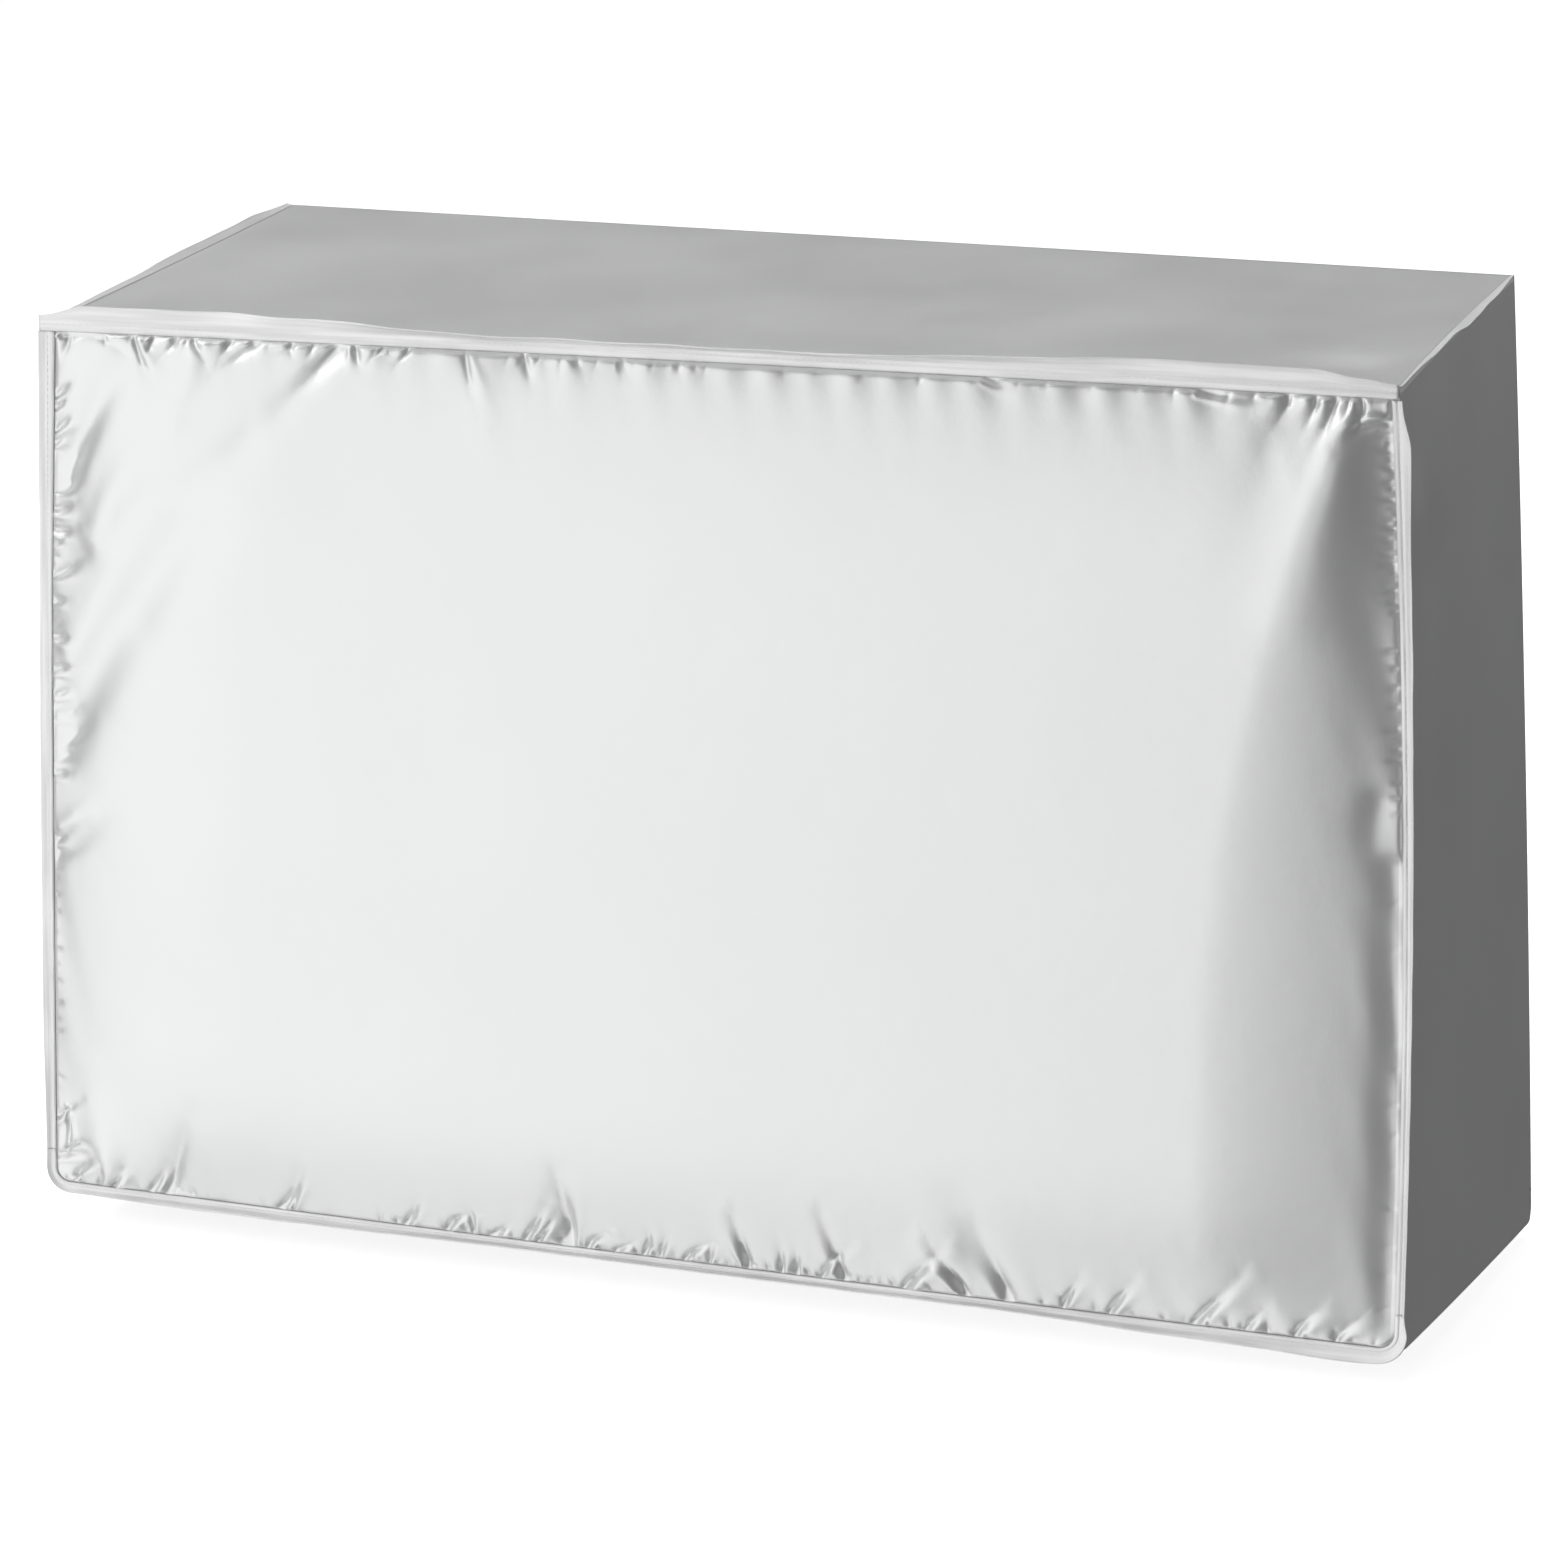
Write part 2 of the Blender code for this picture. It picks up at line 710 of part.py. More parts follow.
def side_path(seam, sideways):
    """Points down a side seam of the front, between the top and bottom bindings, and their way out."""
    height = panel_size(PANELS["front_panel"])[1]
    low = (FRONT_ROUND + BINDING_UPRIGHT + GAP) / height
    high = 1 - (WELT + GAP) / height
    shares = [high + (low - high) * step / SIDE_BINDING_STEPS for step in range(SIDE_BINDING_STEPS + 1)]
    return [on_seam(seam, share) for share in shares], [sideways] * len(shares)


def bottom_path():
    """Points round the front's lower edge, from upper left to upper right, and their way out."""
    width, height = panel_size(PANELS["front_panel"])
    top_level = FRONT_ROUND + BINDING_UPRIGHT
    rounds = []
    for angle in ROUND_BINDING_ANGLES:
        turn = math.radians(angle)
        rounds.append((FRONT_ROUND * (1 - math.cos(turn)), FRONT_ROUND * (1 - math.sin(turn)), turn))
    flat = [(0.0, top_level, 0.0)] + rounds
    inner_step = (width - 2 * FRONT_ROUND) / HEM_BINDING_STEPS
    flat += [(FRONT_ROUND + inner_step * step, 0.0, math.pi / 2) for step in range(1, HEM_BINDING_STEPS)]
    flat += [(width - place, level, math.pi - turn) for place, level, turn in reversed(rounds)]
    flat.append((width, top_level, math.pi))
    path = [hung(PANELS["front_panel"], place / width, level / height) for place, level, _ in flat]
    outs = [LEFT * math.cos(turn) - UP * math.sin(turn) for _, _, turn in flat]
    return path, outs


# Materials


def make_material(name, look):
    color, roughness, metallic = look
    material = bpy.data.materials.new(name)
    material.use_nodes = True
    shader = material.node_tree.nodes["Principled BSDF"]
    shader.inputs["Base Color"].default_value = (*color, 1)
    shader.inputs["Roughness"].default_value = roughness
    shader.inputs["Metallic"].default_value = metallic
    return material


def main():
    clear_scene()
    collection = bpy.data.collections.new("air_conditioner_cover")
    bpy.context.scene.collection.children.link(collection)
    silver = make_material("silver_cloth", SILVER_CLOTH)
    tape = make_material("binding_tape", BINDING_TAPE)

    panels = [
        make_panel("front_panel", FRONT_STEP, front_shape(PANELS["front_panel"]), MARGIN),
        make_panel("top_panel", PLAIN_STEP, plain_shape(PANELS["top_panel"], TOP_DIPS)),
        make_panel("right_panel", PLAIN_STEP, plain_shape(PANELS["right_panel"], RIGHT_DIPS)),
        make_panel("left_panel", PLAIN_STEP, plain_shape(PANELS["left_panel"], LEFT_DIPS)),
        make_panel("back_panel", BACK_STEP, plain_shape(PANELS["back_panel"], BACK_DIPS)),
    ]
    strips = [
        make_binding("binding_top", *top_path(), TOP_LEANS),
        make_binding("binding_left", *side_path("front_left", LEFT), LEFT_LEANS),
        make_binding("binding_right", *side_path("front_right", RIGHT), RIGHT_LEANS),
        make_binding("binding_bottom", *bottom_path(), BOTTOM_LEANS),
        make_flange("flange_right", "top_right", RIGHT, RIGHT_FLANGE_LEANS),
        make_flange("flange_left", "top_left", LEFT, LEFT_FLANGE_LEANS),
    ]

    for obj in panels:
        obj.data.materials.append(silver)
        collection.objects.link(obj)
    for obj in strips:
        obj.data.materials.append(tape)
        collection.objects.link(obj)


main()
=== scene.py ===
import math
from collections import namedtuple

import bmesh
import bpy
import numpy as np
from mathutils import Matrix, Vector


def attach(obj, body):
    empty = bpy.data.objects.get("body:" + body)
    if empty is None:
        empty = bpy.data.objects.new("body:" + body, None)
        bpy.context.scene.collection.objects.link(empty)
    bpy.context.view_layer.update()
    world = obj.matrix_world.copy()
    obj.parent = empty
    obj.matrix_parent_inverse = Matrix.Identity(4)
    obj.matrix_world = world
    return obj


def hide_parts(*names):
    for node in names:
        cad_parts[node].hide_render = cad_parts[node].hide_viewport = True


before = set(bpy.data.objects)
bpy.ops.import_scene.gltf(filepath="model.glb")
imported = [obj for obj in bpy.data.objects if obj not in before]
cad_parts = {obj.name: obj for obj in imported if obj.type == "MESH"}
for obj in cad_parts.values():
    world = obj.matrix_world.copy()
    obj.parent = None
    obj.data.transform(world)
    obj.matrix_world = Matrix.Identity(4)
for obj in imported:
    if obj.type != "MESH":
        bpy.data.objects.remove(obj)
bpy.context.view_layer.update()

# The cover's sizes, in metres: the same seams, puff and binding as its solids
WIDTH = 0.850
DEPTH = 0.320
HEIGHT = 0.585
TOP_Z = 0.0015
MM = 0.001
WELT = 0.0055
MARGIN = 0.0058
FRONT_ROUND = 0.013
BACK_ROUND = 0.008
ROUND_REACH = 0.060
PUFF = 0.028
SEAM_PUFF = 0.0034
SEAM_PUFF_REACH = 0.003
REACH_LEFT = 0.160
REACH_TOP = 0.120
REACH_BOTTOM = 0.125
REACH_RIGHT_HIGH = 0.026
REACH_RIGHT_LOW = 0.114
REACH_RIGHT_DROP = 0.400
CREST_POWER = 1.6
LUMP_REACH = 0.012
LEAST_OUT = 0.0012
FRONT_STEP = 0.00112

# How far each corner of the seams lies from the corner of a plain box: right, back, up, in millimetres
Shift = namedtuple("Shift", "right back up")
CORNERS = {
    "top_front_left": Shift(-1, -2, -13),
    "top_front_right": Shift(8, 1, -1),
    "top_back_right": Shift(-8, 0, 6),
    "top_back_left": Shift(8, 4, 5),
    "hem_front_left": Shift(-31, 7, 3),
    "hem_front_right": Shift(16, 8, 1),
    "hem_back_right": Shift(22, -22, -13),
    "hem_back_left": Shift(-14, -20, -6),
}

# Each seam's two ends, and how far its middle bows away from straight, in millimetres
Seam = namedtuple("Seam", "start end bow_right bow_back bow_up")
SEAMS = {
    "top_front": Seam("top_front_left", "top_front_right", 0, -2, 2),
    "top_back": Seam("top_back_left", "top_back_right", 0, 1, 0),
    "top_left": Seam("top_front_left", "top_back_left", 2, 0, 0),
    "top_right": Seam("top_front_right", "top_back_right", -3, 0, -1),
    "hem_front": Seam("hem_front_left", "hem_front_right", 0, -4, 1),
    "hem_back": Seam("hem_back_left", "hem_back_right", 0, 5, 1),
    "hem_left": Seam("hem_front_left", "hem_back_left", -3, 0, 1),
    "hem_right": Seam("hem_front_right", "hem_back_right", 1, 0, 0),
    "front_left": Seam("hem_front_left", "top_front_left", -1, 0, 0),
    "front_right": Seam("hem_front_right", "top_front_right", 6, 0, 0),
    "back_left": Seam("hem_back_left", "top_back_left", -1, 3, 0),
    "back_right": Seam("hem_back_right", "top_back_right", 1, 3, 0),
}

FORWARD = np.array((0.0, -1.0, 0.0))
BACK = np.array((0.0, 1.0, 0.0))
LEFT = np.array((-1.0, 0.0, 0.0))
RIGHT = np.array((1.0, 0.0, 0.0))
UP = np.array((0.0, 0.0, 1.0))

# The seams round each panel as it is seen from outside, whether the first two run backwards, and the way out
Panel = namedtuple("Panel", "below above left right backwards outward round_left round_right")
PANELS = {
    "front": Panel("hem_front", "top_front", "front_left", "front_right", False, FORWARD, FRONT_ROUND, FRONT_ROUND),
    "right": Panel("hem_right", "top_right", "front_right", "back_right", False, RIGHT, FRONT_ROUND, BACK_ROUND),
    "back": Panel("hem_back", "top_back", "back_right", "back_left", True, BACK, BACK_ROUND, BACK_ROUND),
    "left": Panel("hem_left", "top_left", "back_left", "front_left", True, LEFT, BACK_ROUND, FRONT_ROUND),
    "top": Panel("top_front", "top_back", "top_left", "top_right", False, UP, 0, 0),
}

# Creases of the front panel, in millimetres right of the middle and below the top seam. A crease runs in a
# curve from its start, where it is deepest, by way of its bend. lip is how far the cloth rises beside it, on
# the right-hand side as one goes from start to end, or on the left where lip is negative.
Crease = namedtuple("Crease", "right drop bend_right bend_drop end_right end_drop width depth lip")
LEFT_CREASES = (
    Crease(-437, 10, -437, 28, -435, 46, 1.6, 3.4, 0.8),
    Crease(-426, 8, -427, 16, -432, 26, 2.6, 2.4, 0.4),
    Crease(-436, 48, -430, 42, -421, 34, 2.2, 3.6, 1.2),
    Crease(-436, 56, -430, 50, -424, 44, 1.8, 2.8, 0.8),
    Crease(-436, 70, -428, 62, -420, 57, 2.2, 3.8, 1.4),
    Crease(-436, 78, -432, 74, -428, 72, 1.8, 2.2, 0.6),
    Crease(-436, 93, -428, 88, -420, 86, 2.0, 3.4, 1.0),
    Crease(-436, 108, -424, 106, -414, 96, 2.6, 4.0, 1.2),
    Crease(-436, 120, -426, 119, -417, 112, 2.4, 4.0, 1.5),
    Crease(-436, 133, -427, 135, -417, 130, 2.2, 3.6, 1.4),
    Crease(-436, 142, -430, 140, -425, 136, 1.8, 2.2, 0.6),
    Crease(-437, 164, -424, 158, -410, 146, 2.6, 3.8, 1.2),
    Crease(-437, 182, -430, 178, -424, 176, 2.0, 2.6, 0.8),
    Crease(-437, 204, -428, 204, -420, 200, 2.4, 3.2, 1.2),
    Crease(-437, 226, -428, 222, -420, 222, 2.2, 3.0, 1.0),
    Crease(-437, 243, -430, 240, -424, 236, 2.0, 2.8, 1.0),
    Crease(-437, 258, -428, 256, -420, 248, 2.2, 3.2, 1.0),
    Crease(-438, 274, -424, 272, -410, 256, 2.8, 3.8, 1.2),
    Crease(-438, 286, -430, 283, -422, 280, 2.0, 2.6, 0.8),
    Crease(-438, 296, -430, 294, -424, 292, 1.8, 2.2, 0.8),
    Crease(-439, 340, -428, 336, -414, 322, 3.0, 2.4, 1.6),
)
TOP_CREASES = (
    Crease(-431, 9, -404, 2, -381, 20, 2.2, 3.0, -1.6),
    Crease(-379, 8, -372, 24, -358, 38, 2.4, 2.4, -1.0),
    Crease(-366, 7, -366, 14, -370, 18, 1.8, 1.4, 0.4),
    Crease(-348, 6, -351, 10, -357, 16, 2.0, 3.2, 1.2),
    Crease(-338, 7, -333, 10, -326, 18, 2.0, 3.2, -1.2),
    Crease(-309, 6, -313, 10, -316, 16, 2.0, 2.2, 0.8),
    Crease(-291, 6, -300, 12, -318, 26, 3.0, 3.0, 1.0),
    Crease(-266, 6, -272, 10, -279, 13, 2.0, 1.8, 0.6),
    Crease(-237, 7, -252, 24, -270, 46, 3.4, 1.8, 0.6),
    Crease(-226, 6, -223, 12, -218, 19, 2.2, 2.8, 0.8),
    Crease(-205, 6, -208, 9, -213, 13, 1.6, 2.2, 0.8),
    Crease(-188, 6, -191, 10, -195, 15, 1.6, 2.6, 0.8),
    Crease(-151, 5, -145, 20, -134, 42, 2.6, 1.6, -0.8),
    Crease(-112, 5, -108, 12, -102, 24, 2.6, 2.4, -0.8),
    Crease(-78, 5, -74, 9, -70, 14, 2.0, 1.8, -0.6),
    Crease(-46, 5, -44, 9, -40, 14, 2.0, 1.6, 0.5),
    Crease(-8, 5, -8, 8, -6, 13, 1.8, 1.6, 0.5),
    Crease(188, 6, 196, 9, 208, 8, 1.6, 1.8, 0.5),
    Crease(322, 7, 340, 9, 364, 9, 1.6, 2.2, 0.8),
    Crease(377, 6, 375, 14, 366, 28, 3.4, 2.0, 0.8),
    Crease(394, 6, 392, 16, 384, 30, 3.4, 2.4, 1.0),
    Crease(405, 6, 402, 20, 390, 44, 3.6, 3.0, 1.2),
    Crease(413, 6, 414, 12, 410, 18, 2.2, 1.6, 0.6),
    Crease(420, 6, 424, 20, 410, 34, 3.0, 3.4, 1.2),
    Crease(434, 18, 422, 18, 406, 30, 1.9, 2.6, 2.6),
    Crease(446, 7, 441, 13, 434, 19, 1.7, 2.2, 1.6),
)
BOTTOM_CREASES = (
    Crease(-424, 568, -418, 558, -406, 552, 2.2, 3.8, 1.7),
    Crease(-408, 572, -404, 566, -403, 556, 2.0, 3.2, 1.2),
    Crease(-399, 573, -394, 568, -386, 556, 2.2, 4.8, 2.2),
    Crease(-372, 574, -366, 566, -354, 547, 2.4, 5.2, 2.2),
    Crease(-360, 574, -352, 556, -332, 506, 4.2, 4.2, 1.0),
    Crease(-281, 574, -272, 568, -260, 540, 2.6, 6.0, 2.4),
    Crease(-271, 573, -268, 564, -260, 546, 1.6, 3.0, 1.0),
    Crease(-194, 574, -188, 566, -180, 551, 2.2, 4.8, 1.9),
    Crease(-165, 573, -158, 560, -146, 559, 2.2, 5.2, 2.4),
    Crease(-147, 573, -146, 566, -147, 551, 1.6, 3.8, 1.4),
    Crease(-136, 574, -128, 570, -118, 558, 2.0, 3.8, 1.7),
    Crease(-112, 573, -106, 564, -92, 542, 2.0, 5.2, 1.9),
    Crease(-104, 573, -98, 566, -86, 547, 1.6, 3.8, 1.2),
    Crease(-82, 574, -80, 552, -84, 517, 3.6, 4.5, 1.4),
    Crease(-70, 573, -68, 566, -55, 559, 2.0, 4.8, 2.2),
    Crease(-52, 573, -46, 570, -34, 561, 1.8, 3.2, 1.2),
    Crease(-33, 573, -28, 566, -26, 551, 1.8, 4.0, 1.4),
    Crease(-22, 573, -20, 566, -14, 554, 1.8, 3.2, 1.2),
    Crease(-6, 573, 2, 562, 16, 556, 1.8, 4.0, 1.7),
    Crease(10, 573, 12, 566, 15, 556, 1.6, 3.0, 1.0),
    Crease(36, 573, 36, 562, 31, 535, 2.6, 4.8, -1.7),
    Crease(58, 573, 58, 566, 60, 551, 1.8, 3.8, 1.2),
    Crease(68, 573, 68, 566, 70, 554, 1.8, 3.5, 1.2),
    Crease(84, 573, 88, 560, 106, 546, 2.0, 3.8, 1.7),
    Crease(98, 573, 98, 560, 88, 525, 2.8, 3.5, -1.2),
    Crease(136, 573, 144, 564, 164, 540, 2.6, 5.5, 2.2),
    Crease(176, 573, 172, 562, 157, 538, 2.6, 5.5, -2.2),
    Crease(202, 572, 200, 556, 187, 523, 4.0, 3.5, -1.2),
    Crease(237, 572, 240, 564, 250, 549, 2.0, 4.0, 1.4),
    Crease(266, 572, 272, 562, 284, 546, 2.2, 4.0, 1.4),
    Crease(318, 572, 328, 562, 350, 533, 2.6, 4.5, 1.4),
    Crease(350, 572, 354, 566, 362, 556, 2.2, 3.0, 1.2),
    Crease(380, 572, 384, 564, 395, 552, 2.4, 3.5, 1.4),
    Crease(404, 573, 408, 566, 419, 556, 2.2, 3.0, 1.2),
)
CORNER_CREASES = (
    Crease(-443, 533, -434, 526, -416, 512, 1.7, 3.6, 1.4),
    Crease(-430, 522, -425, 541, -434, 558, 1.6, 3.2, -1.0),
    Crease(-442, 558, -431, 552, -408, 549, 1.8, 3.4, 1.2),
    Crease(-430, 550, -418, 538, -408, 546, 1.6, 2.4, 0.8),
)

# Long soft folds of the front panel, placed as the creases are. A negative depth is a ridge.
Fold = namedtuple("Fold", "right drop bend_right bend_drop end_right end_drop width depth end_width end_depth")
SOFT_FOLDS = (
    Fold(-432, 98, -413, 72, -384, 20, 11, 9.0, 11, 1.5),
    Fold(-400, 134, -384, 92, -346, 60, 13, -3.5, 13, -1.0),
    Fold(-432, 276, -398, 210, -340, 118, 16, 6.5, 26, 3.0),
    Fold(-424, 214, -386, 160, -344, 96, 14, -3.0, 14, -1.0),
    Fold(-430, 158, -406, 146, -368, 124, 8, 2.4, 12, 0.3),
    Fold(-436, 346, -412, 334, -386, 308, 8, 4.0, 10, 0.3),
    Fold(-430, 330, -412, 318, -392, 298, 7, -2.4, 8, -0.3),
    Fold(-291, 66, -334, 96, -376, 113, 10, 1.6, 8, 0.8),
    Fold(-236, 10, -262, 34, -292, 72, 8, 3.0, 12, 0.8),
    Fold(-300, 80, -336, 120, -366, 178, 14, 1.0, 16, 1.6),
    Fold(-332, 10, -336, 30, -344, 52, 8, -2.4, 9, -0.4),
    Fold(-144, 12, -136, 34, -126, 66, 9, -1.3, 12, -0.3),
    Fold(-398, 560, -402, 532, -406, 494, 16, -4.6, 14, -0.6),
    Fold(-350, 566, -344, 545, -326, 510, 12, 3.0, 14, 0.5),
    Fold(-84, 566, -84, 545, -80, 520, 9, 3.2, 11, 0.5),
    Fold(150, 566, 166, 548, 168, 520, 14, -3.0, 18, -0.5),
    Fold(196, 566, 186, 545, 176, 505, 10, 2.4, 14, 0.6),
    Fold(428, 30, 428, 120, 424, 250, 12, 3.6, 18, 0.5),
    Fold(413, 22, 404, 62, 384, 126, 12, -4.2, 20, -1.4),
    Fold(374, 24, 362, 60, 348, 110, 12, 1.4, 20, 0.3),
    Fold(426, 240, 418, 264, 432, 290, 9, 2.6, 9, 1.0),
    Fold(434, 280, 434, 420, 435, 560, 9, 3.2, 10, 3.2),
)

# Stretches of each seam where small uneven puckers run in, in millimetres
Stretch = namedtuple("Stretch", "start end pitch length width depth")
LEFT_STRETCHES = (
    Stretch(24, 150, 11, 7, 1.7, 1.0),
    Stretch(150, 300, 15, 9, 2.0, 0.9),
    Stretch(358, 440, 9, 6, 1.7, 0.9),
    Stretch(450, 476, 8, 8, 1.7, 1.1),
    Stretch(500, 562, 14, 8, 2.0, 0.5),
)
RIGHT_STRETCHES = (
    Stretch(16, 130, 5, 8, 1.7, 1.5),
    Stretch(150, 250, 9, 8, 2.0, 0.9),
    Stretch(300, 560, 22, 8, 2.4, 0.6),
)
TOP_STRETCHES = (
    Stretch(-420, -180, 13, 9, 2.1, 1.1),
    Stretch(-120, 20, 10, 8, 2.0, 0.9),
    Stretch(60, 340, 26, 7, 2.4, 0.7),
    Stretch(340, 440, 15, 9, 2.0, 1.0),
)
BOTTOM_STRETCHES = (
    Stretch(-430, -340, 13, 9, 2.2, 1.0),
    Stretch(-330, -215, 30, 10, 2.4, 0.6),
    Stretch(-210, 0, 11, 9, 2.2, 1.1),
    Stretch(0, 130, 9, 7, 2.0, 1.1),
    Stretch(130, 300, 17, 9, 2.3, 0.9),
    Stretch(300, 430, 12, 9, 2.2, 1.1),
)

# Bindings: how wide the flange is along its seam, how it leans at its root and how far it curls over, in
# millimetres and degrees. lean is 0 where it points away from the panel, in its plane, and 90 forward.
Lean = namedtuple("Lean", "along width lean curl")
TOP_LEANS = (
    Lean(0.00, 3.5, 10, 0),
    Lean(0.04, 9.6, -4, -8),
    Lean(0.13, 9.8, -2, -4),
    Lean(0.20, 9.2, 10, 25),
    Lean(0.34, 8.6, 36, 55),
    Lean(0.60, 8.4, 40, 55),
    Lean(0.76, 8.8, 18, 30),
    Lean(0.83, 9.8, -4, -4),
    Lean(0.94, 9.0, -6, -4),
    Lean(0.975, 5.0, 10, 0),
    Lean(1.00, 2.6, 20, 0),
)
LEFT_LEANS = (
    Lean(0.00, 4.4, 15, -10),
    Lean(0.30, 4.2, 5, -10),
    Lean(0.60, 4.2, 10, -10),
    Lean(0.82, 4.0, 15, -10),
    Lean(1.00, 2.6, 25, -8),
)
RIGHT_LEANS = (
    Lean(0.00, 2.0, 50, 0),
    Lean(0.05, 6.6, 25, 0),
    Lean(0.14, 5.6, 40, 5),
    Lean(0.45, 4.4, 50, 5),
    Lean(0.70, 3.6, 55, 5),
    Lean(1.00, 3.0, 55, 5),
)
BOTTOM_LEANS = (
    Lean(0.00, 2.6, 25, -8),
    Lean(0.04, 3.4, 38, 0),
    Lean(0.15, 4.4, 45, 10),
    Lean(0.40, 3.2, 60, 20),
    Lean(0.70, 3.0, 60, 20),
    Lean(0.86, 5.0, 25, 10),
    Lean(0.95, 7.0, 5, 0),
    Lean(0.985, 4.5, 30, 0),
    Lean(1.00, 3.0, 52, 4),
)
RIGHT_FLANGE_LEANS = (
    Lean(0.00, 2.0, 10, 0),
    Lean(0.10, 2.6, 18, 0),
    Lean(0.30, 5.0, 12, 5),
    Lean(0.42, 5.4, 18, 5),
    Lean(0.55, 7.2, 2, 8),
    Lean(0.80, 6.4, 10, 5),
    Lean(1.00, 3.0, 20, 0),
)
LEFT_FLANGE_LEANS = (
    Lean(0.00, 3.0, 12, 0),
    Lean(0.30, 4.4, 16, 5),
    Lean(0.50, 6.2, 28, 5),
    Lean(0.85, 6.2, 28, 5),
    Lean(1.00, 3.6, 20, 0),
)

# How far each welt reaches in over the front panel, in millimetres: the top and bottom ones from the left, the
# side ones from the top
Welt = namedtuple("Welt", "along width")
TOP_WELT = (Welt(0.0, 5.5), Welt(1.0, 5.0))
LEFT_WELT = (Welt(0.0, 5.6), Welt(0.10, 5.2), Welt(0.30, 3.4), Welt(1.0, 3.0))
RIGHT_WELT = (Welt(0.0, 4.0), Welt(0.30, 3.2), Welt(1.0, 3.0))
BOTTOM_WELT = (Welt(0.0, 3.0), Welt(0.20, 2.6), Welt(0.80, 2.6), Welt(1.0, 3.0))
WELT_CLEAR = 0.0003

# Soft waves of the flatter panels: place across and up as shares, width and depth in millimetres
Dip = namedtuple("Dip", "across up width depth")
TOP_DIPS = (Dip(0.955, 0.16, 30, 2.2), Dip(0.45, 0.55, 150, -0.5), Dip(0.08, 0.25, 60, 1.5))
RIGHT_DIPS = (Dip(0.10, 0.86, 26, -3.0), Dip(0.26, 0.80, 34, 2.5), Dip(0.50, 0.35, 110, 3.0))
LEFT_DIPS = (Dip(0.86, 0.84, 30, -2.5), Dip(0.52, 0.45, 110, 3.0))
BACK_DIPS = (Dip(0.30, 0.55, 130, 3.0), Dip(0.70, 0.40, 110, 2.5), Dip(0.90, 0.85, 40, -2.0))
WAVE_REACH = 0.030

# Thin layers, in metres
CLOTH = 0.0006
TAPE = 0.0009
HEM_FOLD = 0.014
STITCH_INSET = 0.0009

chance = np.random.default_rng(11)


def smooth(share):
    """0 to 1 with level ends."""
    share = np.clip(share, 0.0, 1.0)
    return share * share * (3 - 2 * share)


def rise(distance, reach):
    """0 at the seam, rounding over to 1 at reach."""
    return np.sin(np.clip(distance / reach, 0.0, 1.0) * math.pi / 2)


def wobble(place, seed, period, count=5):
    """A smooth random wave of about this period, between -1 and 1."""
    dice = np.random.default_rng(seed)
    total = np.zeros_like(np.asarray(place, dtype=float))
    for _ in range(count):
        total += np.sin(place * 2 * math.pi / (period * dice.uniform(0.6, 1.8)) + dice.uniform(0, 2 * math.pi))
    return total / count


# Seams and panels


def corner(name):
    level, face, side = name.split("_")
    shift = CORNERS[name]
    return np.array(
        (
            (WIDTH / 2 if side == "right" else -WIDTH / 2) + shift.right * MM,
            (DEPTH / 2 if face == "back" else -DEPTH / 2) + shift.back * MM,
            TOP_Z - (HEIGHT if level == "hem" else 0) + shift.up * MM,
        )
    )


def on_seam(name, share, backwards=False):
    """The seam's points at these shares of its length."""
    seam = SEAMS[name]
    share = np.asarray(1 - share if backwards else share, dtype=float)[..., None]
    bow = np.array((seam.bow_right, seam.bow_back, seam.bow_up)) * MM
    return corner(seam.start) * (1 - share) + corner(seam.end) * share + bow * 4 * share * (1 - share)


def panel_size(panel):
    """The panel's width and height, measured along the middle of its seams."""
    across = np.linalg.norm(on_seam(panel.left, 0.5) - on_seam(panel.right, 0.5))
    up = np.linalg.norm(on_seam(panel.below, 0.5) - on_seam(panel.above, 0.5))
    return across, up


def hung(panel, across, up):
    """The points between the four seams at these shares of the panel."""
    below = on_seam(panel.below, across, panel.backwards)
    above = on_seam(panel.above, across, panel.backwards)
    left = on_seam(panel.left, up)
    right = on_seam(panel.right, up)
    start, end = (1.0, 0.0) if panel.backwards else (0.0, 1.0)
    low_left = on_seam(panel.below, start)
    low_right = on_seam(panel.below, end)
    high_left = on_seam(panel.above, start)
    high_right = on_seam(panel.above, end)
    if panel.backwards:
        low_left, low_right = on_seam(panel.below, 0.0, True), on_seam(panel.below, 1.0, True)
        high_left, high_right = on_seam(panel.above, 0.0, True), on_seam(panel.above, 1.0, True)
    across = np.asarray(across, dtype=float)[..., None]
    up = np.asarray(up, dtype=float)[..., None]
    low = low_left * (1 - across) + low_right * across
    high = high_left * (1 - across) + high_right * across
    return below * (1 - up) + above * up + left * (1 - across) + right * across - low * (1 - up) - high * up


def round_lift(distance, radius):
    """How far a round corner lifts the hem at this distance from the seam."""
    if not radius:
        return np.zeros_like(distance)
    inside = np.clip(radius - distance, 0.0, radius)
    return radius - np.sqrt(radius**2 - inside**2)


def graded(length, fine, coarse, border):
    """Places from 0 to length: fine steps within border of both ends, coarse ones between."""
    edge = np.linspace(0, border, max(round(border / fine), 1) + 1)
    inner = np.linspace(border, length - border, max(round((length - 2 * border) / coarse), 1) + 1)
    return np.concatenate((edge, inner[1:-1], length - edge[::-1]))


def lift_corners(panel, x, y):
    """The flat cut's points with its lower corners rounded off."""
    width, _ = panel_size(panel)
    lift = round_lift(x, panel.round_left) + round_lift(width - x, panel.round_right)
    return x, y + lift * np.clip(1 - y / ROUND_REACH, 0.0, 1.0)


def grid_faces(rows, columns):
    index = np.arange(rows * columns).reshape(rows, columns)
    return np.stack((index[:-1, :-1], index[:-1, 1:], index[1:, 1:], index[1:, :-1]), axis=-1).reshape(-1, 4).tolist()


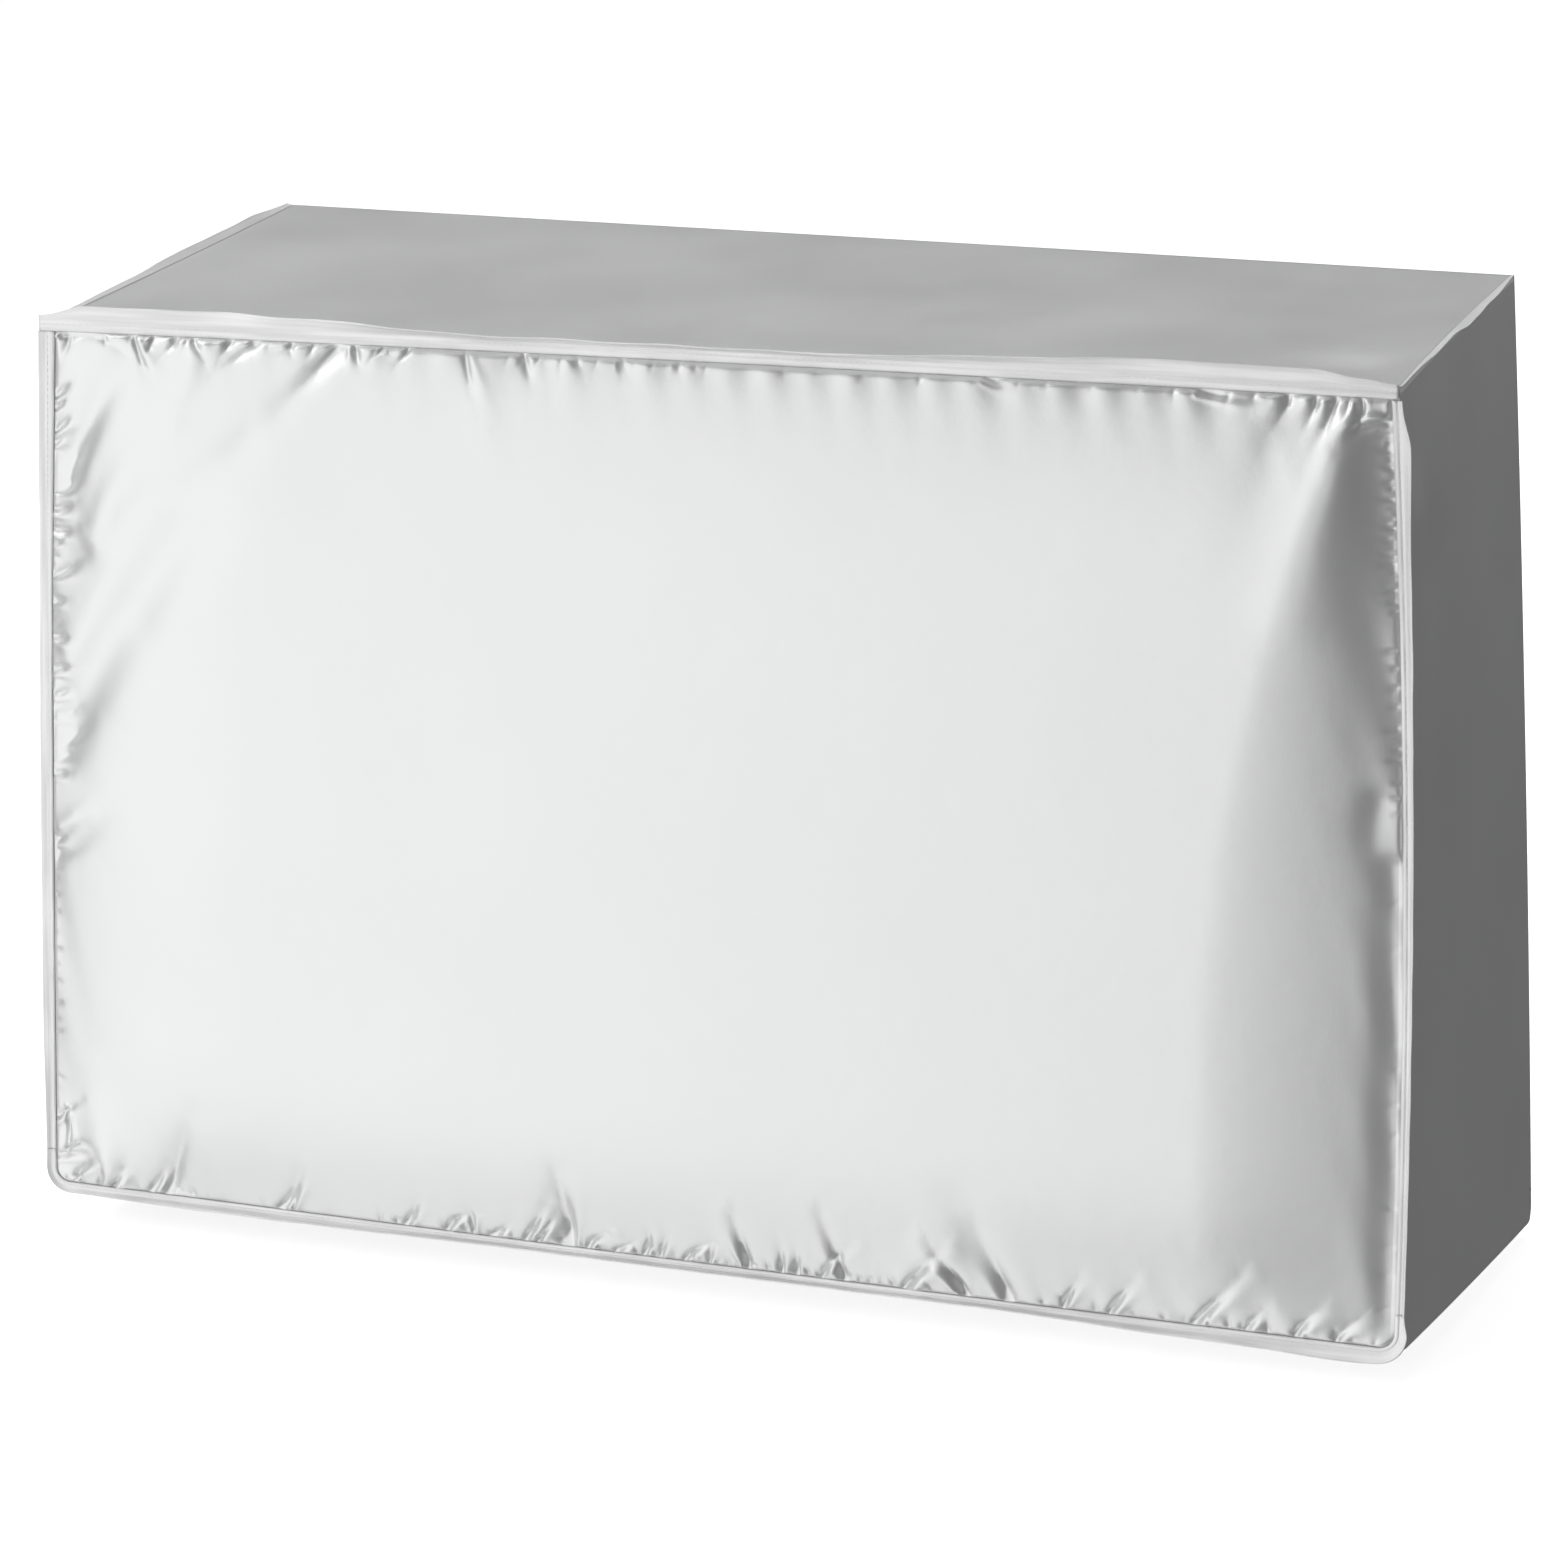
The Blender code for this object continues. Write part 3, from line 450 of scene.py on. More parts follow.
def sheet_mesh(name, points, faces, cut_x, cut_y):
    """A mesh of these points, with the flat cut in metres as its UV map."""
    mesh = bpy.data.meshes.new(name)
    mesh.from_pydata(points.reshape(-1, 3).tolist(), [], faces)
    flat = np.stack((cut_x, cut_y), axis=-1).reshape(-1, 2)
    layer = mesh.uv_layers.new(name="cut")
    corners = np.zeros(len(mesh.loops), dtype=np.int32)
    mesh.loops.foreach_get("vertex_index", corners)
    layer.data.foreach_set("uv", flat[corners].astype(np.float32).ravel())
    mesh.shade_smooth()
    obj = bpy.data.objects.new(name, mesh)
    bpy.context.scene.collection.objects.link(obj)
    return obj


def thicken(obj, thickness, offset):
    layer = obj.modifiers.new("thickness", "SOLIDIFY")
    layer.thickness = thickness
    layer.offset = offset
    return obj


# The front panel's folds, worked out on its flat cut in millimetres

BEND_STEPS = 8
CREASE_DEPTH = 1.5


def curve_points(row):
    """Points along a crease's or fold's curve, from start to end by way of its bend."""
    share = np.linspace(0, 1, BEND_STEPS + 1)[:, None]
    start = np.array((row.right, -row.drop))
    bend = np.array((row.bend_right, -row.bend_drop))
    end = np.array((row.end_right, -row.end_drop))
    return start * (1 - share) ** 2 + bend * 2 * share * (1 - share) + end * share**2


def beside_curve(spots, line):
    """Each spot's distance from the line, which side it is on, and the share along it."""
    best = np.full(len(spots), np.inf)
    side = np.zeros(len(spots))
    share = np.zeros(len(spots))
    last = len(line) - 1
    for step in range(last):
        run = line[step + 1] - line[step]
        offset = spots - line[step]
        part = np.clip(offset @ run / (run @ run), 0, 1)
        away = offset - part[:, None] * run
        distance = np.hypot(away[:, 0], away[:, 1])
        nearer = distance < best
        best[nearer] = distance[nearer]
        side[nearer] = np.sign(offset[nearer, 0] * run[1] - offset[nearer, 1] * run[0])
        share[nearer] = (step + part[nearer]) / last
    return best, side, share


def near(spots, line, reach):
    """Which spots lie within reach of the line's box."""
    low = line.min(axis=0) - reach
    high = line.max(axis=0) + reach
    return np.nonzero(((spots > low) & (spots < high)).all(axis=1))[0]


def add_crease(height, spots, row):
    """A sharp valley with a raised lip beside it, fading out towards its end."""
    line = curve_points(row)
    chosen = near(spots, line, row.width * 6)
    distance, side, share = beside_curve(spots[chosen], line)
    fade = 1 - smooth(share) * 0.9
    width = row.width * (0.55 + 0.75 * share)
    valley = np.exp((0.25 * width - np.hypot(distance, 0.25 * width)) / width)
    lip = np.exp(-(((distance - 2.4 * width) / (1.6 * width)) ** 2)) * (side * np.sign(row.lip) > 0)
    height[chosen] += fade * CREASE_DEPTH * (abs(row.lip) * lip - row.depth * valley)


def add_fold(height, spots, row):
    """A soft trough or ridge."""
    line = curve_points(row)
    chosen = near(spots, line, max(row.width, row.end_width) * 3)
    distance, _, share = beside_curve(spots[chosen], line)
    width = row.width + (row.end_width - row.width) * share
    depth = row.depth + (row.end_depth - row.depth) * smooth(share)
    height[chosen] -= depth * np.exp(-((distance / width) ** 2))


def pucker_rows(stretches, place_of):
    """Small uneven puckers along a seam, as creases."""
    rows = []
    for stretch in stretches:
        place = stretch.start
        while place < stretch.end:
            length = stretch.length * chance.uniform(0.5, 1.5)
            lean = chance.uniform(-0.5, 0.5) * length
            start, bend, end = place_of(place, 0, 0), place_of(place, length / 2, lean / 4), place_of(place, length, lean)
            width = stretch.width * chance.uniform(0.7, 1.3)
            depth = stretch.depth * chance.uniform(0.4, 1.4)
            rows.append(Crease(*start, *bend, *end, width, depth, depth * chance.uniform(-0.3, 0.3)))
            place += stretch.pitch * chance.uniform(0.6, 1.5)
    return rows


def front_rows(width, height):
    """Every crease and pucker of the front panel."""
    side = width / MM / 2 - WELT / MM
    low = height / MM - WELT / MM
    rows = list(LEFT_CREASES + TOP_CREASES + BOTTOM_CREASES + CORNER_CREASES)
    rows += pucker_rows(LEFT_STRETCHES, lambda place, inward, along: (inward - side, place - along))
    rows += pucker_rows(RIGHT_STRETCHES, lambda place, inward, along: (side - inward, place - along))
    rows += pucker_rows(TOP_STRETCHES, lambda place, inward, along: (place + along, inward + WELT / MM))
    rows += pucker_rows(BOTTOM_STRETCHES, lambda place, inward, along: (place + along, low - inward))
    return rows


def seam_distance(x, y, width, height):
    """How far each point lies from the nearest seam, round corners included."""
    side = np.minimum(x, width - x)
    plain = np.minimum(np.minimum(side, y), height - y)
    rounded = FRONT_ROUND - np.hypot(FRONT_ROUND - side, FRONT_ROUND - y)
    return np.where((side < FRONT_ROUND) & (y < FRONT_ROUND), rounded, plain)


def crown(distance, reach):
    """0 at the seam, rounding over without a kink to 1 at reach."""
    return 1 - (1 - np.clip(distance / reach, 0.0, 1.0)) ** 2.4


def welt_width(rows, along):
    return np.interp(along, [row.along for row in rows], [row.width * MM for row in rows])


def inside_welts(x, y, width, height):
    """How far each point lies inside the edges of the four welts."""
    share = 1 - y / height
    gaps = (x, width - x, height - y, y)
    widths = (
        welt_width(LEFT_WELT, share),
        welt_width(RIGHT_WELT, share),
        welt_width(TOP_WELT, x / width),
        welt_width(BOTTOM_WELT, x / width),
    )
    pulls = [np.exp(-np.maximum(gap, 0.0) / 0.004) for gap in gaps]
    width_here = sum(pull * wide for pull, wide in zip(pulls, widths)) / np.maximum(sum(pulls), 1e-30)
    return seam_distance(x, y, width, height) - width_here - WELT_CLEAR


def front_puff(x, y, width, height):
    """How far the panel stands out of its seams' surface, before its creases."""
    left = crown(x - MARGIN, REACH_LEFT)
    drop = rise(height - y, REACH_RIGHT_DROP)
    reach = REACH_RIGHT_HIGH + (REACH_RIGHT_LOW - REACH_RIGHT_HIGH) * drop
    right = 1 - (1 - np.clip((width - x - MARGIN) / reach, 0.0, 1.0)) ** CREST_POWER
    top = crown(height - y - MARGIN, REACH_TOP)
    bottom = crown(y - MARGIN, REACH_BOTTOM)
    inside = inside_welts(x, y, width, height)
    lumps = 0.5 * wobble(x + 0.3 * y, 5, 0.040) * np.exp(-np.maximum(inside, 0.0) / LUMP_REACH)
    near_seam = SEAM_PUFF * rise(inside, SEAM_PUFF_REACH) * (1 + lumps)
    return near_seam + (PUFF - SEAM_PUFF) * left * right * top * bottom


def graded_cells(columns, rows, fine_reach, middle_reach):
    """Square cells of one, two or four steps, the finer the nearer they lie to a seam."""
    cells = []
    for left in range(0, columns, 4):
        for low in range(0, rows, 4):
            seam = min(left, low, columns - 4 - left, rows - 4 - low)
            size = 1 if seam < fine_reach else 2 if seam < middle_reach else 4
            steps = range(0, 4, size)
            cells += [(left + across, low + up, size) for across in steps for up in steps]
    return cells


def cell_faces(cells):
    """The cells' corner points, and their faces with each finer neighbour's corners in their sides."""
    spots = {}
    for left, low, size in cells:
        for spot in ((left, low), (left + size, low), (left + size, low + size), (left, low + size)):
            spots.setdefault(spot, len(spots))
    faces = []
    for left, low, size in cells:
        right, high = left + size, low + size
        walk = [(place, low) for place in range(left, right)]
        walk += [(right, place) for place in range(low, high)]
        walk += [(place, high) for place in range(right, left, -1)]
        walk += [(left, place) for place in range(high, low, -1)]
        faces.append([spots[spot] for spot in walk if spot in spots])
    return np.array(list(spots)), faces


def make_front():
    """The front panel: cut too large, gathered into its seams and puffed out."""
    panel = PANELS["front"]
    width, height = panel_size(panel)
    columns = 4 * round(width / (4 * FRONT_STEP))
    rows = 4 * round(height / (4 * FRONT_STEP))
    spots, faces = cell_faces(graded_cells(columns, rows, round(0.022 / FRONT_STEP), round(0.060 / FRONT_STEP)))
    x, y = lift_corners(panel, spots[:, 0] * width / columns, spots[:, 1] * height / rows)
    marks = np.stack(((x - width / 2) / MM, (y - height) / MM), axis=-1)
    folds = np.zeros(len(marks))
    for row in SOFT_FOLDS:
        add_fold(folds, marks, row)
    for row in front_rows(width, height):
        add_crease(folds, marks, row)
    folds += 0.35 * wobble(marks[:, 0] + 0.4 * marks[:, 1], 3, 150) * wobble(marks[:, 1] - 0.3 * marks[:, 0], 4, 120)
    inside = inside_welts(x, y, width, height)
    out = front_puff(x, y, width, height)
    out = out + folds * MM * smooth(inside / 0.0025)
    out = (out + np.hypot(out, LEAST_OUT)) / 2
    points = hung(panel, x / width, y / height) + panel.outward * out[..., None]
    return sheet_mesh("front_cloth", points, faces, x, y)


# The flatter panels


def dip_depth(dips, across, up, width, height):
    depth = np.zeros_like(across)
    for dip in dips:
        distance = np.hypot((across - dip.across) * width, (up - dip.up) * height)
        depth += dip.depth * MM * np.exp(-((distance / (dip.width * MM)) ** 2))
    return depth


def make_plain(name, panel_name, dips, step, seed, hem=True):
    """A flatter panel between its seams, with soft waves, and its hem folded under."""
    panel = PANELS[panel_name]
    width, height = panel_size(panel)
    places = graded(width, step / 2, step, 0.030)
    levels = graded(height, step / 2, step, 0.030)
    x, y = lift_corners(panel, *np.meshgrid(places, levels))
    across, up = x / width, y / height
    edge = np.minimum(np.minimum(x, width - x), np.minimum(y, height - y))
    wave = dip_depth(dips, across, up, width, height)
    wave += 0.0004 * wobble(x + 0.5 * y, seed, 0.16) * wobble(y - 0.4 * x, seed + 1, 0.13)
    points = hung(panel, across, up) - panel.outward * (wave * smooth(edge / WAVE_REACH))[..., None]
    if hem:
        fold_x, fold_y, fold = hem_rows(panel, x, y, points)
        x, y = np.concatenate((fold_x, x)), np.concatenate((fold_y, y))
        points = np.concatenate((fold, points))
    return thicken(sheet_mesh(name, points, grid_faces(*x.shape), x, y), CLOTH, -1)


def hem_rows(panel, x, y, points):
    """Rows of points that turn the hem under and up again on the inside."""
    low = points[0]
    fold_x, fold_y, fold = [], [], []
    for drop, back, up in ((0.0160, 0.0016, HEM_FOLD), (0.0090, 0.0018, HEM_FOLD * 0.5), (0.0020, 0.0014, 0.0010), (0.0008, 0.0007, -0.0004)):
        fold_x.append(x[0])
        fold_y.append(y[0] - drop)
        fold.append(low - panel.outward * back + UP * up)
    return np.array(fold_x), np.array(fold_y), np.array(fold)


# Bindings and seam flanges: flat folded tape


def lean_at(rows, along):
    """Width, lean and curl of a table at these shares of the seam."""
    places = np.array([row.along for row in rows])
    step = np.clip(np.searchsorted(places, along, side="right") - 1, 0, len(rows) - 2)
    part = smooth((along - places[step]) / (places[step + 1] - places[step]))
    values = np.array([(row.width * MM, math.radians(row.lean), math.radians(row.curl)) for row in rows])
    return (values[step] * (1 - part)[:, None] + values[step + 1] * part[:, None]).T


WELT_SHAPE = ((-1.0, 0.0), (-0.93, 0.5), (-0.75, 0.75), (-0.5, 0.7), (-0.34, 0.45), (-0.24, 0.15), (-0.14, 0.35))
FLANGE_POINTS = 9


def make_tape(name, path, outs, leans, seed, welts=None, forward=FORWARD, cover=0.0011):
    """A tape along a path of seam points: a welt over the panel's edge and a flange that leans and curls."""
    count = len(path)
    along = np.linspace(0, 1, count)
    length = np.linalg.norm(np.diff(path, axis=0), axis=1).sum()
    width, lean, curl = lean_at(leans, along)
    width = width * (1 + 0.05 * wobble(along * length, seed, 0.06))
    lean = lean + math.radians(5) * wobble(along * length, seed + 1, 0.05)
    columns = []
    if welts:
        reach = welt_width(welts, along)
        for share, height in WELT_SHAPE:
            lift = cover + height * 0.0007 * (1 + 0.5 * wobble(along * length, seed + 2, 0.03))
            columns.append(path + outs * (share * reach)[:, None] + forward * lift[:, None])
    root = path + (outs * 0.0009 + forward * cover if welts else forward * 0.0004 - outs * 0.0015)
    turn = lean
    place = root
    step = width / (FLANGE_POINTS - 1)
    for index in range(FLANGE_POINTS):
        columns.append(place)
        turn = lean + curl * index / (FLANGE_POINTS - 1)
        place = place + (outs * np.cos(turn)[:, None] + forward * np.sin(turn)[:, None]) * step[:, None]
    points = np.stack(columns, axis=1)
    x = np.broadcast_to((along * length)[:, None], points.shape[:2])
    y = np.broadcast_to(np.linspace(0, WELT + width.mean(), points.shape[1]), points.shape[:2])
    tape = sheet_mesh(name, points, grid_faces(*x.shape), x, y)
    return thicken(tape, TAPE, 0) if welts else tape


def top_path(count=520, overrun=0.005):
    share = np.linspace(0, 1, count)
    path = on_seam("top_front", share)
    path[:, 0] -= overrun * np.clip(1 - 2 * share, 0, 1)
    return path, np.broadcast_to(UP, path.shape)


def side_path(seam, sideways, count=360):
    height = panel_size(PANELS["front"])[1]
    share = np.linspace(1 - (WELT + 0.0003) / height, (FRONT_ROUND + 0.0123) / height, count)
    path = on_seam(seam, share)
    return path, np.broadcast_to(sideways, path.shape)


def bottom_path(upright=0.012, count=560):
    """Down the left, round the corner, along the hem, and round and up the right."""
    panel = PANELS["front"]
    width, height = panel_size(panel)
    quarter = FRONT_ROUND * math.pi / 2
    inner = width - 2 * FRONT_ROUND
    total = 2 * (upright + quarter) + inner
    path, outs = [], []
    for run in np.linspace(0, total, count):
        half = min(run, total - run)
        if half < upright:
            place, level, turn = 0.0, FRONT_ROUND + upright - half, 0.0
        elif half < upright + quarter:
            turn = (half - upright) / FRONT_ROUND
            place, level = FRONT_ROUND * (1 - math.cos(turn)), FRONT_ROUND * (1 - math.sin(turn))
        else:
            turn = math.pi / 2
            place, level = FRONT_ROUND + half - upright - quarter, 0.0
        if run > total / 2:
            place, turn = width - place, math.pi - turn
        path.append(hung(panel, place / width, level / height))
        outs.append(LEFT * math.cos(turn) - UP * math.sin(turn))
    return np.array(path), np.array(outs)


def flange_path(seam, count=220):
    path = on_seam(seam, np.linspace(0.022, 0.992, count))
    return path


# Stitching


def make_stitches(name, lines):
    """Short threads laid end to end along these lines: each a path and the way up from its cloth."""
    mesh = bmesh.new()
    for path, above in lines:
        gaps = np.linalg.norm(np.diff(path, axis=0), axis=1)
        run = np.concatenate(((0,), np.cumsum(gaps)))
        for start in np.arange(0.002, run[-1] - 0.004, 0.0042):
            ends = [np.array([np.interp(place, run, path[:, axis]) for axis in range(3)]) for place in (start, start + 0.0032)]
            add_thread(mesh, ends[0], ends[1], above)
    data = bpy.data.meshes.new(name)
    mesh.to_mesh(data)
    mesh.free()
    data.shade_smooth()
    obj = bpy.data.objects.new(name, data)
    bpy.context.scene.collection.objects.link(obj)
    return obj


def add_thread(mesh, start, end, above, radius=0.00022):
    """One stitch: a thread that rises out of the cloth and dips back in."""
    line = end - start
    line = line / np.linalg.norm(line)
    side = np.cross(line, above)
    rings = []
    for share, lift, size in ((0.0, -0.2, 0.5), (0.2, 0.7, 1.0), (0.8, 0.7, 1.0), (1.0, -0.2, 0.5)):
        middle = start + (end - start) * share + above * radius * lift
        ring = []
        for turn in range(6):
            angle = turn * math.pi / 3
            ring.append(mesh.verts.new(middle + (side * math.cos(angle) + above * math.sin(angle)) * radius * size))
        rings.append(ring)
    for first, second in zip(rings, rings[1:]):
        for index in range(6):
            after = (index + 1) % 6
            mesh.faces.new((first[index], first[after], second[after], second[index]))


# Materials


def add(tree, kind, x=0, y=0, **values):
    node = tree.nodes.new(kind)
    node.location = (x, y)
    for key, value in values.items():
        setattr(node, key, value)
    return node


def cloth_material(name, color, metallic, roughness, weave=0.12, crinkle=0.25):
    """Silver-coated plain weave: fine threads, faint crinkles, and patches where the coating is duller."""
    material = bpy.data.materials.new(name)
    material.use_nodes = True
    tree = material.node_tree
    shader = tree.nodes["Principled BSDF"]
    shader.inputs["Metallic"].default_value = metallic
    shader.inputs["IOR"].default_value = 1.45
    link = tree.links.new
    cut = add(tree, "ShaderNodeUVMap", -1400, 0, uv_map="cut")
    place = add(tree, "ShaderNodeTexCoord", -1400, -300)

    patches = add(tree, "ShaderNodeTexNoise", -1100, 300)
    patches.inputs["Scale"].default_value = 7
    patches.inputs["Detail"].default_value = 3
    link(place.outputs["Object"], patches.inputs["Vector"])
    tint = add(tree, "ShaderNodeMix", -700, 300, data_type="RGBA")
    tint.inputs[6].default_value = (*[value * 0.92 for value in color], 1)
    tint.inputs[7].default_value = (*[min(value * 1.03, 1) for value in color], 1)
    link(patches.outputs["Fac"], tint.inputs[0])
    link(tint.outputs[2], shader.inputs["Base Color"])

    rough = add(tree, "ShaderNodeMapRange", -700, 50)
    rough.inputs["To Min"].default_value = roughness - 0.05
    rough.inputs["To Max"].default_value = roughness + 0.06
    link(patches.outputs["Fac"], rough.inputs["Value"])
    link(rough.outputs["Result"], shader.inputs["Roughness"])

    threads = []
    for direction in ("X", "Y"):
        wave = add(tree, "ShaderNodeTexWave", -1100, -100 if direction == "X" else -350, bands_direction=direction)
        wave.inputs["Scale"].default_value = 420
        wave.inputs["Distortion"].default_value = 0.6
        wave.inputs["Detail"].default_value = 1
        link(cut.outputs["UV"], wave.inputs["Vector"])
        threads.append(wave)
    woven = add(tree, "ShaderNodeMath", -850, -200, operation="MULTIPLY")
    link(threads[0].outputs["Fac"], woven.inputs[0])
    link(threads[1].outputs["Fac"], woven.inputs[1])
    weave_bump = add(tree, "ShaderNodeBump", -400, -200)
    weave_bump.inputs["Strength"].default_value = weave
    weave_bump.inputs["Distance"].default_value = 0.0002
    link(woven.outputs[0], weave_bump.inputs["Height"])

    crinkles = add(tree, "ShaderNodeTexNoise", -1100, -600)
    crinkles.inputs["Scale"].default_value = 60
    crinkles.inputs["Detail"].default_value = 4
    crinkles.inputs["Roughness"].default_value = 0.55
    link(place.outputs["Object"], crinkles.inputs["Vector"])
    crinkle_bump = add(tree, "ShaderNodeBump", -200, -400)
    crinkle_bump.inputs["Strength"].default_value = crinkle
    crinkle_bump.inputs["Distance"].default_value = 0.0008
    link(crinkles.outputs["Fac"], crinkle_bump.inputs["Height"])
    link(weave_bump.outputs["Normal"], crinkle_bump.inputs["Normal"])
    link(crinkle_bump.outputs["Normal"], shader.inputs["Normal"])
    return material


def plain_material(name, color, roughness):
    material = bpy.data.materials.new(name)
    material.use_nodes = True
    shader = material.node_tree.nodes["Principled BSDF"]
    shader.inputs["Base Color"].default_value = (*color, 1)
    shader.inputs["Roughness"].default_value = roughness
    return material


def add_painted_shade_streaks(material, depth):
    """Painted shade and painted highlight: darker and lighter lines of noise along a tape, put in place of the shade
    and light of its folds.
    """
    tree = material.node_tree
    shader = tree.nodes["Principled BSDF"]
    plain = shader.inputs["Base Color"].links[0].from_socket
    link = tree.links.new
    cut = add(tree, "ShaderNodeUVMap", -1600, 700, uv_map="cut")
    stretch = add(tree, "ShaderNodeMapping", -1400, 700)
    stretch.inputs["Scale"].default_value = (9, 260, 1)
    link(cut.outputs["UV"], stretch.inputs["Vector"])
    streaks = add(tree, "ShaderNodeTexNoise", -1200, 700)
    streaks.inputs["Scale"].default_value = 1
    streaks.inputs["Detail"].default_value = 2
    link(stretch.outputs["Vector"], streaks.inputs["Vector"])
    # Painted shade: the streak noise darkens the tape's colour down to 1 - depth
    tone = add(tree, "ShaderNodeMapRange", -1000, 700)
    tone.inputs["From Min"].default_value = 0.38
    tone.inputs["From Max"].default_value = 0.62
    tone.inputs["To Min"].default_value = 1 - depth
    tone.inputs["To Max"].default_value = 1
    link(streaks.outputs["Fac"], tone.inputs["Value"])
    streaked = add(tree, "ShaderNodeMix", -300, 400, data_type="RGBA", blend_type="MULTIPLY")
    streaked.inputs[0].default_value = 1
    link(plain, streaked.inputs[6])
    link(tone.outputs["Result"], streaked.inputs[7])
    link(streaked.outputs[2], shader.inputs["Base Color"])


def make_translucent(material, share):
    """Lets light from behind glow through a thin tape."""
    tree = material.node_tree
    shader = tree.nodes["Principled BSDF"]
    output = tree.nodes["Material Output"]
    glow = add(tree, "ShaderNodeBsdfTranslucent", 0, -400)
    glow.inputs["Color"].default_value = (0.92, 0.92, 0.92, 1)
    mixed = add(tree, "ShaderNodeMixShader", 250, 0)
    mixed.inputs[0].default_value = share
    tree.links.new(shader.outputs[0], mixed.inputs[1])
    tree.links.new(glow.outputs[0], mixed.inputs[2])
    tree.links.new(mixed.outputs[0], output.inputs["Surface"])


def dress(obj, material, slot, *nodes):
    obj.data.materials.append(material)
    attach(obj, "root")
    if nodes:
        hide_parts(*nodes)
    return obj


# The stage


def make_camera():
    """The viewpoint: in front, to the right and a little above: in front of the cover's right half, and a little above it."""
    azimuth, elevation, roll = (math.radians(angle) for angle in (21.489, 15.696, -0.728))
    distance, shift_right, shift_up = 3.6824, -0.00516, -0.03087
    back = Vector((math.sin(azimuth) * math.cos(elevation), -math.cos(azimuth) * math.cos(elevation), math.sin(elevation)))
    level = Vector((math.cos(azimuth), math.sin(azimuth), 0))
    above = back.cross(level)
    right = level * math.cos(roll) + above * math.sin(roll)
    up = above * math.cos(roll) - level * math.sin(roll)
    data = bpy.data.cameras.new("camera")
    data.lens = 134.70
    data.sensor_width = 36
    camera = bpy.data.objects.new("camera", data)
    matrix = Matrix((right, up, back)).transposed().to_4x4()
    matrix.translation = Vector((0, 0, -0.28)) + right * shift_right + up * shift_up + back * distance
    camera.matrix_world = matrix
    bpy.context.scene.collection.objects.link(camera)
    bpy.context.scene.camera = camera


def add_light(name, azimuth, elevation, distance, wide, tall, power, aim=(0, 0, -0.3)):
    """A soft light. Azimuth 0 is in front of the cover, and negative to its left."""
    turn, lift = math.radians(azimuth), math.radians(elevation)
    away = Vector((math.sin(turn) * math.cos(lift), -math.cos(turn) * math.cos(lift), math.sin(lift)))
    data = bpy.data.lights.new(name, "AREA")
    data.shape = "RECTANGLE"
    data.size = wide
    data.size_y = tall
    data.energy = power
    light = bpy.data.objects.new(name, data)
    light.location = Vector(aim) + away * distance
    light.rotation_euler = away.to_track_quat("Z", "Y").to_euler()
    light.visible_camera = False
    bpy.context.scene.collection.objects.link(light)


def make_stage():
    """A pale floor and backdrop that the camera sees, and soft studio lights."""
    pale = plain_material("pale_floor", (0.97, 0.97, 0.97), 0.9)
    shader = pale.node_tree.nodes["Principled BSDF"]
    shader.inputs["Emission Color"].default_value = (1, 1, 1, 1)
    shader.inputs["Emission Strength"].default_value = 0.78
    mesh = bmesh.new()
    bmesh.ops.create_circle(mesh, cap_ends=True, segments=96, radius=14)
    data = bpy.data.meshes.new("floor")
    mesh.to_mesh(data)
    mesh.free()
    floor = bpy.data.objects.new("floor", data)
    floor.location = (0, 0, -0.606)
    data.materials.append(pale)
    bpy.context.scene.collection.objects.link(floor)

    glow = bpy.data.materials.new("white_backdrop")
    glow.use_nodes = True
    glow.node_tree.nodes.clear()
    emission = glow.node_tree.nodes.new("ShaderNodeEmission")
    emission.inputs["Strength"].default_value = 1.0
    output = glow.node_tree.nodes.new("ShaderNodeOutputMaterial")
    glow.node_tree.links.new(emission.outputs[0], output.inputs["Surface"])
    mesh = bmesh.new()
    bmesh.ops.create_uvsphere(mesh, u_segments=48, v_segments=24, radius=30)
    data = bpy.data.meshes.new("backdrop")
    mesh.to_mesh(data)
    mesh.free()
    backdrop = bpy.data.objects.new("backdrop", data)
    data.materials.append(glow)
    bpy.context.scene.collection.objects.link(backdrop)
    for obj in (floor, backdrop):
        obj.visible_diffuse = False
        obj.visible_glossy = False
        obj.visible_transmission = False
        obj.visible_shadow = False

    world = bpy.data.worlds.new("studio")
    bpy.context.scene.world = world
    world.use_nodes = True
    world.node_tree.nodes["Background"].inputs[0].default_value = (0.16, 0.16, 0.16, 1)

    add_light("key_light", -39, 0, 4.0, 5.2, 8.0, 158)
    add_light("low_light", -50, -68, 4.0, 3.6, 3.2, 34)
    add_light("fill_light", 11, -8, 4.0, 2.2, 4.2, 20)
    add_light("top_light", -160, 60, 4.0, 3.2, 3.2, 49)
    add_light("left_light", -85, 48, 4.0, 2.4, 2.4, 44)
    add_light("right_light", 146, 12, 4.0, 1.6, 1.6, 4)
    bpy.context.scene.view_settings.view_transform = "Standard"


